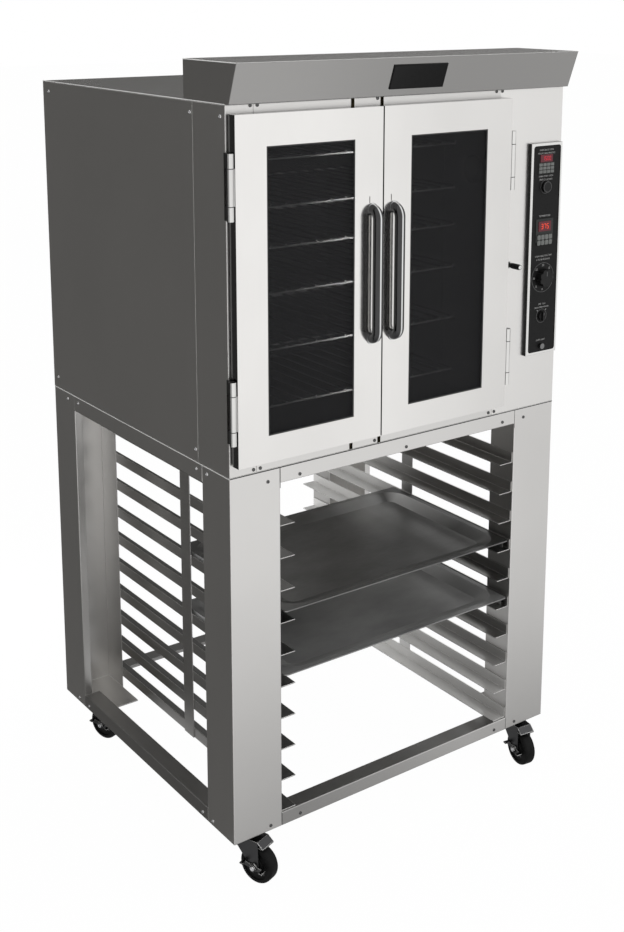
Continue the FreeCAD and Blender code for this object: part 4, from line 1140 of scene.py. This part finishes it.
class OVEN_OT_knobs(bpy.types.Operator):
    """Adds the pointer lines, the button's rim and the damper's tip and ribbed grip"""

    bl_idname = "oven.knobs"
    bl_label = "Knob details"

    def execute(self, context):
        left = at(CONTROL_AXIS - 0.9, 0, 0).x
        right = at(CONTROL_AXIS + 0.9, 0, 0).x
        for node, z, reach in (("steam_dial", STEAM_DIAL, 0.016), ("power_selector", POWER_SELECTOR, 0.0085)):
            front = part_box(node)[0][1]
            line = block(
                node + "_pointer", Vector((left, front - 0.0003, z * MM + reach * 0.3)),
                Vector((right, front + 0.0002, z * MM + reach)))
            soften(line, 0.00012)
            dress(line, finishes["print_grey"], node)
        rim = printed_ring("timer_button_rim", front_middle("timer_button"), 0.0128, 0.0009, 0.0005)
        dress(rim, finishes["print_grey"], "timer_button")
        middle = front_middle("damper_pull")
        start = middle - Vector((0, 0.0015, 0))
        end = middle + Vector((0, 0.003, 0))
        tip = round_bar("damper_tip", 0.0052, start, end, 28)
        bevel_edges(tip, lambda mid, way: mid.y < middle.y - 0.001, 0.0016, 3)
        dress(tip, finishes["button_bright"], "damper_pull")
        rib = printed_ring("damper_rib", middle, 0.0068, 0.0014, 0.0014)
        soften(rib, 0.0003)
        ribs = [
            copied(rib, "damper_rib", Matrix.Translation((0, 0.005 + i * 0.0034, 0))) for i in range(7)
        ]
        discard(rib)
        dress(joined("damper_ribs", ribs), finishes["knob_plastic"], "damper_pull")
        return {"FINISHED"}


def tyre_and_hub(radius, width):
    """A wheel with its axle along Y on the origin: tread with round shoulders, recessed sides and hub."""
    wheel = cylinder("wheel", radius, width, (0, 0, 0), 56, along_y=True)
    bevel_edges(wheel, lambda mid, way: abs(way.y) < 0.1, 0.0065, 5)
    for side in (-1, 1):
        pick_faces(wheel, lambda mid, normal: normal.y * side > 0.99 and abs(mid.y) > width * 0.49)
        bpy.ops.mesh.inset(thickness=0.004)
        extrude(0, -side * 0.003, 0)
        bpy.ops.mesh.inset(thickness=0.013)
        extrude(0, side * 0.0045, 0)
        bpy.ops.mesh.inset(thickness=0.002)
        leave_edit()
    return soften(wheel, 0.0005)


def caster_frame(corner):
    """Two matrices that set a caster: one for its fork, drawn along +X from the origin, one for its wheel."""
    swivel = Vector(joints[corner + "_caster_swivel"]["pos_m"])
    hub = Vector(joints[corner + "_wheel_spin"]["pos_m"])
    trail = hub - swivel
    turn = Matrix.Rotation(math.atan2(trail.y, trail.x), 4, "Z")
    return Matrix.Translation((swivel.x, swivel.y, 0)) @ turn, Matrix.Translation(hub) @ turn


class OVEN_OT_wheels(bpy.types.Operator):
    """Moulds one tyre and hub and fits it to the four casters"""

    bl_idname = "oven.wheels"
    bl_label = "Caster wheels"

    def execute(self, context):
        trim = context.scene.oven_trim
        wheel = tyre_and_hub(trim.wheel_radius, trim.wheel_width)
        for corner in CORNERS:
            twin = copied(wheel, corner + "_tyre", caster_frame(corner)[1])
            dress(twin, finishes["tyre"], corner + "_wheel")
            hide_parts(corner + "_caster_wheel")
        discard(wheel)
        return {"FINISHED"}


def fork_front():
    """The lip at the fork's front: a flat plate with round outer corners."""
    top = 0.1077
    start = 0.0545
    end = 0.0695
    half = 0.0204
    lip = block("fork_lip", Vector((start, -half, top - 0.0142)), Vector((end, half, top - 0.0116)))
    bevel_edges(lip, lambda mid, way: abs(way.z) > 0.9 and mid.x > end - 0.001, 0.006, 4)
    return soften(lip, 0.0005)


def hexagon_bolt(radius, height):
    bolt = cylinder("bolt", radius, height, (0, 0, height / 2), 6)
    pick_faces(bolt, lambda mid, normal: normal.z > 0.9)
    bpy.ops.mesh.inset(thickness=radius * 0.12)
    bpy.ops.transform.translate(value=(0, 0, height * 0.15))
    leave_edit()
    return soften(bolt, 0.0003)


class OVEN_OT_casters(bpy.types.Operator):
    """Adds the plate bolts, the lips of the forks and the caps of the axles"""

    bl_idname = "oven.casters"
    bl_label = "Caster details"

    def execute(self, context):
        bolt = hexagon_bolt(0.0062, 0.0042)
        spread_out = 0.029
        plate_under = 0.117
        bolts = []
        for corner in CORNERS:
            swivel = Vector(joints[corner + "_caster_swivel"]["pos_m"])
            for dx in (-1, 1):
                for dy in (-1, 1):
                    point = Vector((swivel.x + dx * spread_out, swivel.y + dy * spread_out, plate_under))
                    bolts.append(copied(bolt, "plate_bolt", facing(point, (0, 0, -1), 0.3)))
        discard(bolt)
        dress(joined("plate_bolts", bolts), finishes["bright_zinc_and_painted_light"], ROOT)
        lip = fork_front()
        cap = screw_head(0.0055, 0.0022)
        trail = 0.044
        axle_height = 0.044
        axle_ends = (-0.0277, 0.0244)
        for corner in CORNERS:
            body = corner + "_swivel"
            place = caster_frame(corner)[0]
            dress(copied(lip, corner + "_fork_lip", place), finishes["zinc"], body)
            caps = []
            for y in axle_ends:
                out = (place.to_3x3() @ Vector((0, math.copysign(1, y), 0))).normalized()
                end = place @ Vector((trail, y, axle_height))
                caps.append(copied(cap, corner + "_axle_cap", facing(end, out)))
            dress(joined(corner + "_axle_caps", caps), finishes["bright_zinc_and_painted_light"], body)
        discard(lip)
        discard(cap)
        return {"FINISHED"}


class OVEN_OT_louvres(bpy.types.Operator):
    """Presses the louvre hoods of the rear cover and the nut of the cable inlet"""

    bl_idname = "oven.louvres"
    bl_label = "Rear louvres"

    def execute(self, context):
        low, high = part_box("rear_access_cover")
        middle_x = (low[0] + high[0]) / 2
        middle_z = (low[2] + high[2]) / 2
        hood = block("louvre", Vector((-0.1, 0, 0)), Vector((0.1, 0.008, 0.012)))
        bevel_edges(hood, lambda mid, way: abs(way.x) > 0.9 and mid.y > 0.007 and mid.z > 0.01, 0.0078, 5)
        pick_faces(hood, lambda mid, normal: normal.z < -0.9 or normal.y < -0.9)
        bpy.ops.mesh.delete(type="FACE")
        leave_edit()
        only(hood)
        wall = hood.modifiers.new("wall", "SOLIDIFY")
        wall.thickness = 0.001
        wall.offset = -1
        bpy.ops.object.modifier_apply(modifier=wall.name)
        count = 7
        pitch = 0.024
        hoods = []
        for i in range(count):
            foot = Vector((middle_x, high[1], middle_z + (i - count // 2) * pitch - 0.003))
            hoods.append(copied(hood, "louvre_%d" % i, Matrix.Translation(foot)))
        discard(hood)
        dress(joined("rear_louvres", hoods), finishes["panel_across"], ROOT)
        centre = front_middle("cable_inlet") + Vector((0, 0.0036, 0))
        nut = cylinder("inlet_nut", 0.027, 0.007, centre, 6, along_y=True)
        soften(hollowed(nut, 0.0033), 0.0006)
        dress(nut, finishes["inlet_plastic"], ROOT)
        return {"FINISHED"}


def seen_plainly(tree, camera_share=1.0):
    """1 for the rays that show a surface itself, through glass or in a mirror, and 0 for those that light."""
    rays = add(tree, "LightPath").outputs
    seen = calculated(tree, "MULTIPLY", rays["Is Camera Ray"], camera_share)
    return larger(tree, larger(tree, seen, rays["Is Glossy Ray"]), rays["Is Transmission Ray"])


def floor_material(level):
    """A white floor that keeps a faint shadow, and turns grey near the oven in reflections."""
    material, tree, shader = new_material(
        "studio_floor", {"Roughness": 0.9, "Base Color": (0.82, 0.82, 0.82, 1)})
    length = add(tree, "VectorMath", operation="LENGTH")
    tree.links.new(add(tree, "TexCoord").outputs["Object"], length.inputs[0])
    away = length.outputs["Value"]
    near = product(tree, spread(tree, away, level, 1, 0.45, 1.75), spread(tree, away, 0.9, 1, 3.2, 6.0))
    ahead = calculated(tree, "MULTIPLY", own_place(tree, "Y"), -1.0)
    bearing = calculated(tree, "ARCTAN2", own_place(tree, "X"), ahead)
    mirrored = product(tree, near, spread(tree, bearing, 1.14, 0.88, math.radians(34), math.radians(43)))
    strength = add(tree, "MapRange", {"To Min": 1.0})
    tree.links.new(add(tree, "LightPath").outputs["Is Glossy Ray"], strength.inputs["Value"])
    tree.links.new(mirrored, strength.inputs["To Max"])
    glow = add(tree, "Emission", {"Color": (1, 1, 1, 1)})
    tree.links.new(strength.outputs["Result"], glow.inputs["Strength"])
    mix = add(tree, "MixShader")
    tree.links.new(seen_plainly(tree, 0.985), mix.inputs[0])
    tree.links.new(shader.outputs[0], mix.inputs[1])
    tree.links.new(glow.outputs[0], mix.inputs[2])
    tree.links.new(mix.outputs[0], tree.nodes["Material Output"].inputs["Surface"])
    return material


def flag(name, level, corners):
    """A dark flag outside the picture that only reflections show."""
    mesh = bpy.data.meshes.new(name)
    mesh.from_pydata(corners, [], [tuple(range(len(corners)))])
    board = bpy.data.objects.new(name, mesh)
    bpy.context.collection.objects.link(board)
    material, tree = new_material(name, {"Base Color": (0, 0, 0, 1)})[:2]
    glow = add(tree, "Emission", {"Color": (1, 0.985, 0.96, 1), "Strength": level})
    tree.links.new(glow.outputs[0], tree.nodes["Material Output"].inputs["Surface"])
    board.data.materials.append(material)
    board.visible_camera = False
    board.visible_diffuse = False
    board.visible_shadow = False
    board.visible_transmission = False


def lamp(name, power, size, place, aim):
    data = bpy.data.lights.new(name, "AREA")
    data.energy = power
    data.shape = "RECTANGLE"
    data.size, data.size_y = size
    light = bpy.data.objects.new(name, data)
    light.location = place
    light.rotation_euler = (Vector(place) - Vector(aim)).to_track_quat("Z", "Y").to_euler()
    light.visible_camera = False
    light.visible_glossy = False
    bpy.context.collection.objects.link(light)


def studio_world(level):
    world = bpy.data.worlds.new("studio")
    bpy.context.scene.world = world
    world.use_nodes = True
    tree = world.node_tree
    back = tree.nodes["Background"]
    back.inputs["Color"].default_value = (1, 1, 1, 1)
    tree.links.new(spread(tree, seen_plainly(tree), level, 1, 0, 1), back.inputs["Strength"])


def upright_board(name, level, start, end, tall):
    """A flag that stands on the floor between two points."""
    foot = [(*start, 0), (*end, 0)]
    head = [(*end, tall), (*start, tall)]
    flag(name, level, foot + head)


def photo_camera(stage):
    """A camera at its stand point, turned by azimuth, elevation and roll."""
    data = bpy.data.cameras.new("camera")
    data.lens = stage.lens
    data.shift_x, data.shift_y = stage.shift
    eye = bpy.data.objects.new("camera", data)
    bpy.context.collection.objects.link(eye)
    azimuth, elevation, roll = (math.radians(part) for part in stage.turn)
    level = math.cos(elevation)
    back = Vector((math.sin(azimuth) * level, -math.cos(azimuth) * level, math.sin(elevation)))
    across = Vector((0, 0, 1)).cross(back).normalized()
    up = back.cross(across)
    right = math.cos(roll) * across + math.sin(roll) * up
    up = math.cos(roll) * up - math.sin(roll) * across
    turn = Matrix((right, up, back)).transposed().to_4x4()
    stand = Vector(stage.stand_point) + Vector((CABINET_CORNER[0], CABINET_CORNER[1], 0))
    eye.matrix_world = Matrix.Translation(stand) @ turn
    return eye


class OVEN_OT_stage(bpy.types.Operator):
    """Sets the floor, the lamps, the dark flags and the camera"""

    bl_idname = "oven.stage"
    bl_label = "Studio"

    def execute(self, context):
        stage = context.scene.oven_stage
        context.scene.view_settings.view_transform = "Standard"
        studio_world(stage.sky)
        clear_selection()
        bpy.ops.mesh.primitive_plane_add(size=60, location=(0, 0, 0))
        floor = settle(named("floor"))
        floor.data.materials.append(floor_material(0.45))
        dark = stage.flag_level
        upright_board("left_flag", dark, (-2.2, -0.6), (-2.2, 6), 3.2)
        upright_board("back_flag", dark, (-4, 3), (5, 3), 3.0)
        flag(
            "left_floor_flag", dark,
            [(-2.2, -0.3, 0.002), (-0.49, -0.3, 0.002), (-0.49, 3, 0.002), (-2.2, 3, 0.002)])
        lamp("front_key", stage.key_power, (2.4, 2.4), (2.2, -3.4, 2.6), (0, 0, 0.9))
        lamp("top_fill", stage.key_power * 0.5, (3.0, 3.0), (0.3, -0.6, 4.4), (0, 0, 0.8))
        lamp("rear_fill", stage.key_power * 0.2, (0.5, 0.8), (-0.75, 1.5, 0.55), (0.4, 0.2, 0.6))
        lamp("cavity_glow", 1.3, (0.02, 0.62), at(432, 60, 1372), at(425, 200, 1372))
        context.scene.camera = photo_camera(stage)
        return {"FINISHED"}


STEPS = (
    OVEN_OT_finishes, OVEN_OT_screws, OVEN_OT_seams, OVEN_OT_edge_beads, OVEN_OT_hinge_washers,
    OVEN_OT_hood_plate, OVEN_OT_handles, OVEN_OT_glazing, OVEN_OT_racks, OVEN_OT_bezel_trim, OVEN_OT_displays,
    OVEN_OT_prints, OVEN_OT_knobs, OVEN_OT_wheels, OVEN_OT_casters, OVEN_OT_louvres, OVEN_OT_stage,
)


class OVEN_PT_sidebar(bpy.types.Panel):
    """Lists the oven's settings and building steps"""

    bl_idname = "OVEN_PT_sidebar"
    bl_label = "Convection oven"
    bl_space_type = "VIEW_3D"
    bl_region_type = "UI"
    bl_category = "Oven"

    def draw(self, context):
        for group in (context.scene.oven_finish, context.scene.oven_trim, context.scene.oven_stage):
            box = self.layout.box()
            for key in group.bl_rna.properties.keys():
                if key not in ("rna_type", "name"):
                    box.prop(group, key)
        for step in STEPS:
            self.layout.operator(step.bl_idname)


CLASSES = (OvenFinish, OvenTrim, OvenStage) + STEPS + (OVEN_PT_sidebar,)


def register():
    for item in CLASSES:
        bpy.utils.register_class(item)
    bpy.types.Scene.oven_finish = PointerProperty(type=OvenFinish)
    bpy.types.Scene.oven_trim = PointerProperty(type=OvenTrim)
    bpy.types.Scene.oven_stage = PointerProperty(type=OvenStage)


def unregister():
    del bpy.types.Scene.oven_stage
    del bpy.types.Scene.oven_trim
    del bpy.types.Scene.oven_finish
    for item in reversed(CLASSES):
        bpy.utils.unregister_class(item)


def main():
    register()
    for step in STEPS:
        group, name = step.bl_idname.split(".")
        getattr(getattr(bpy.ops, group), name)()


if __name__ == "__main__":
    main()
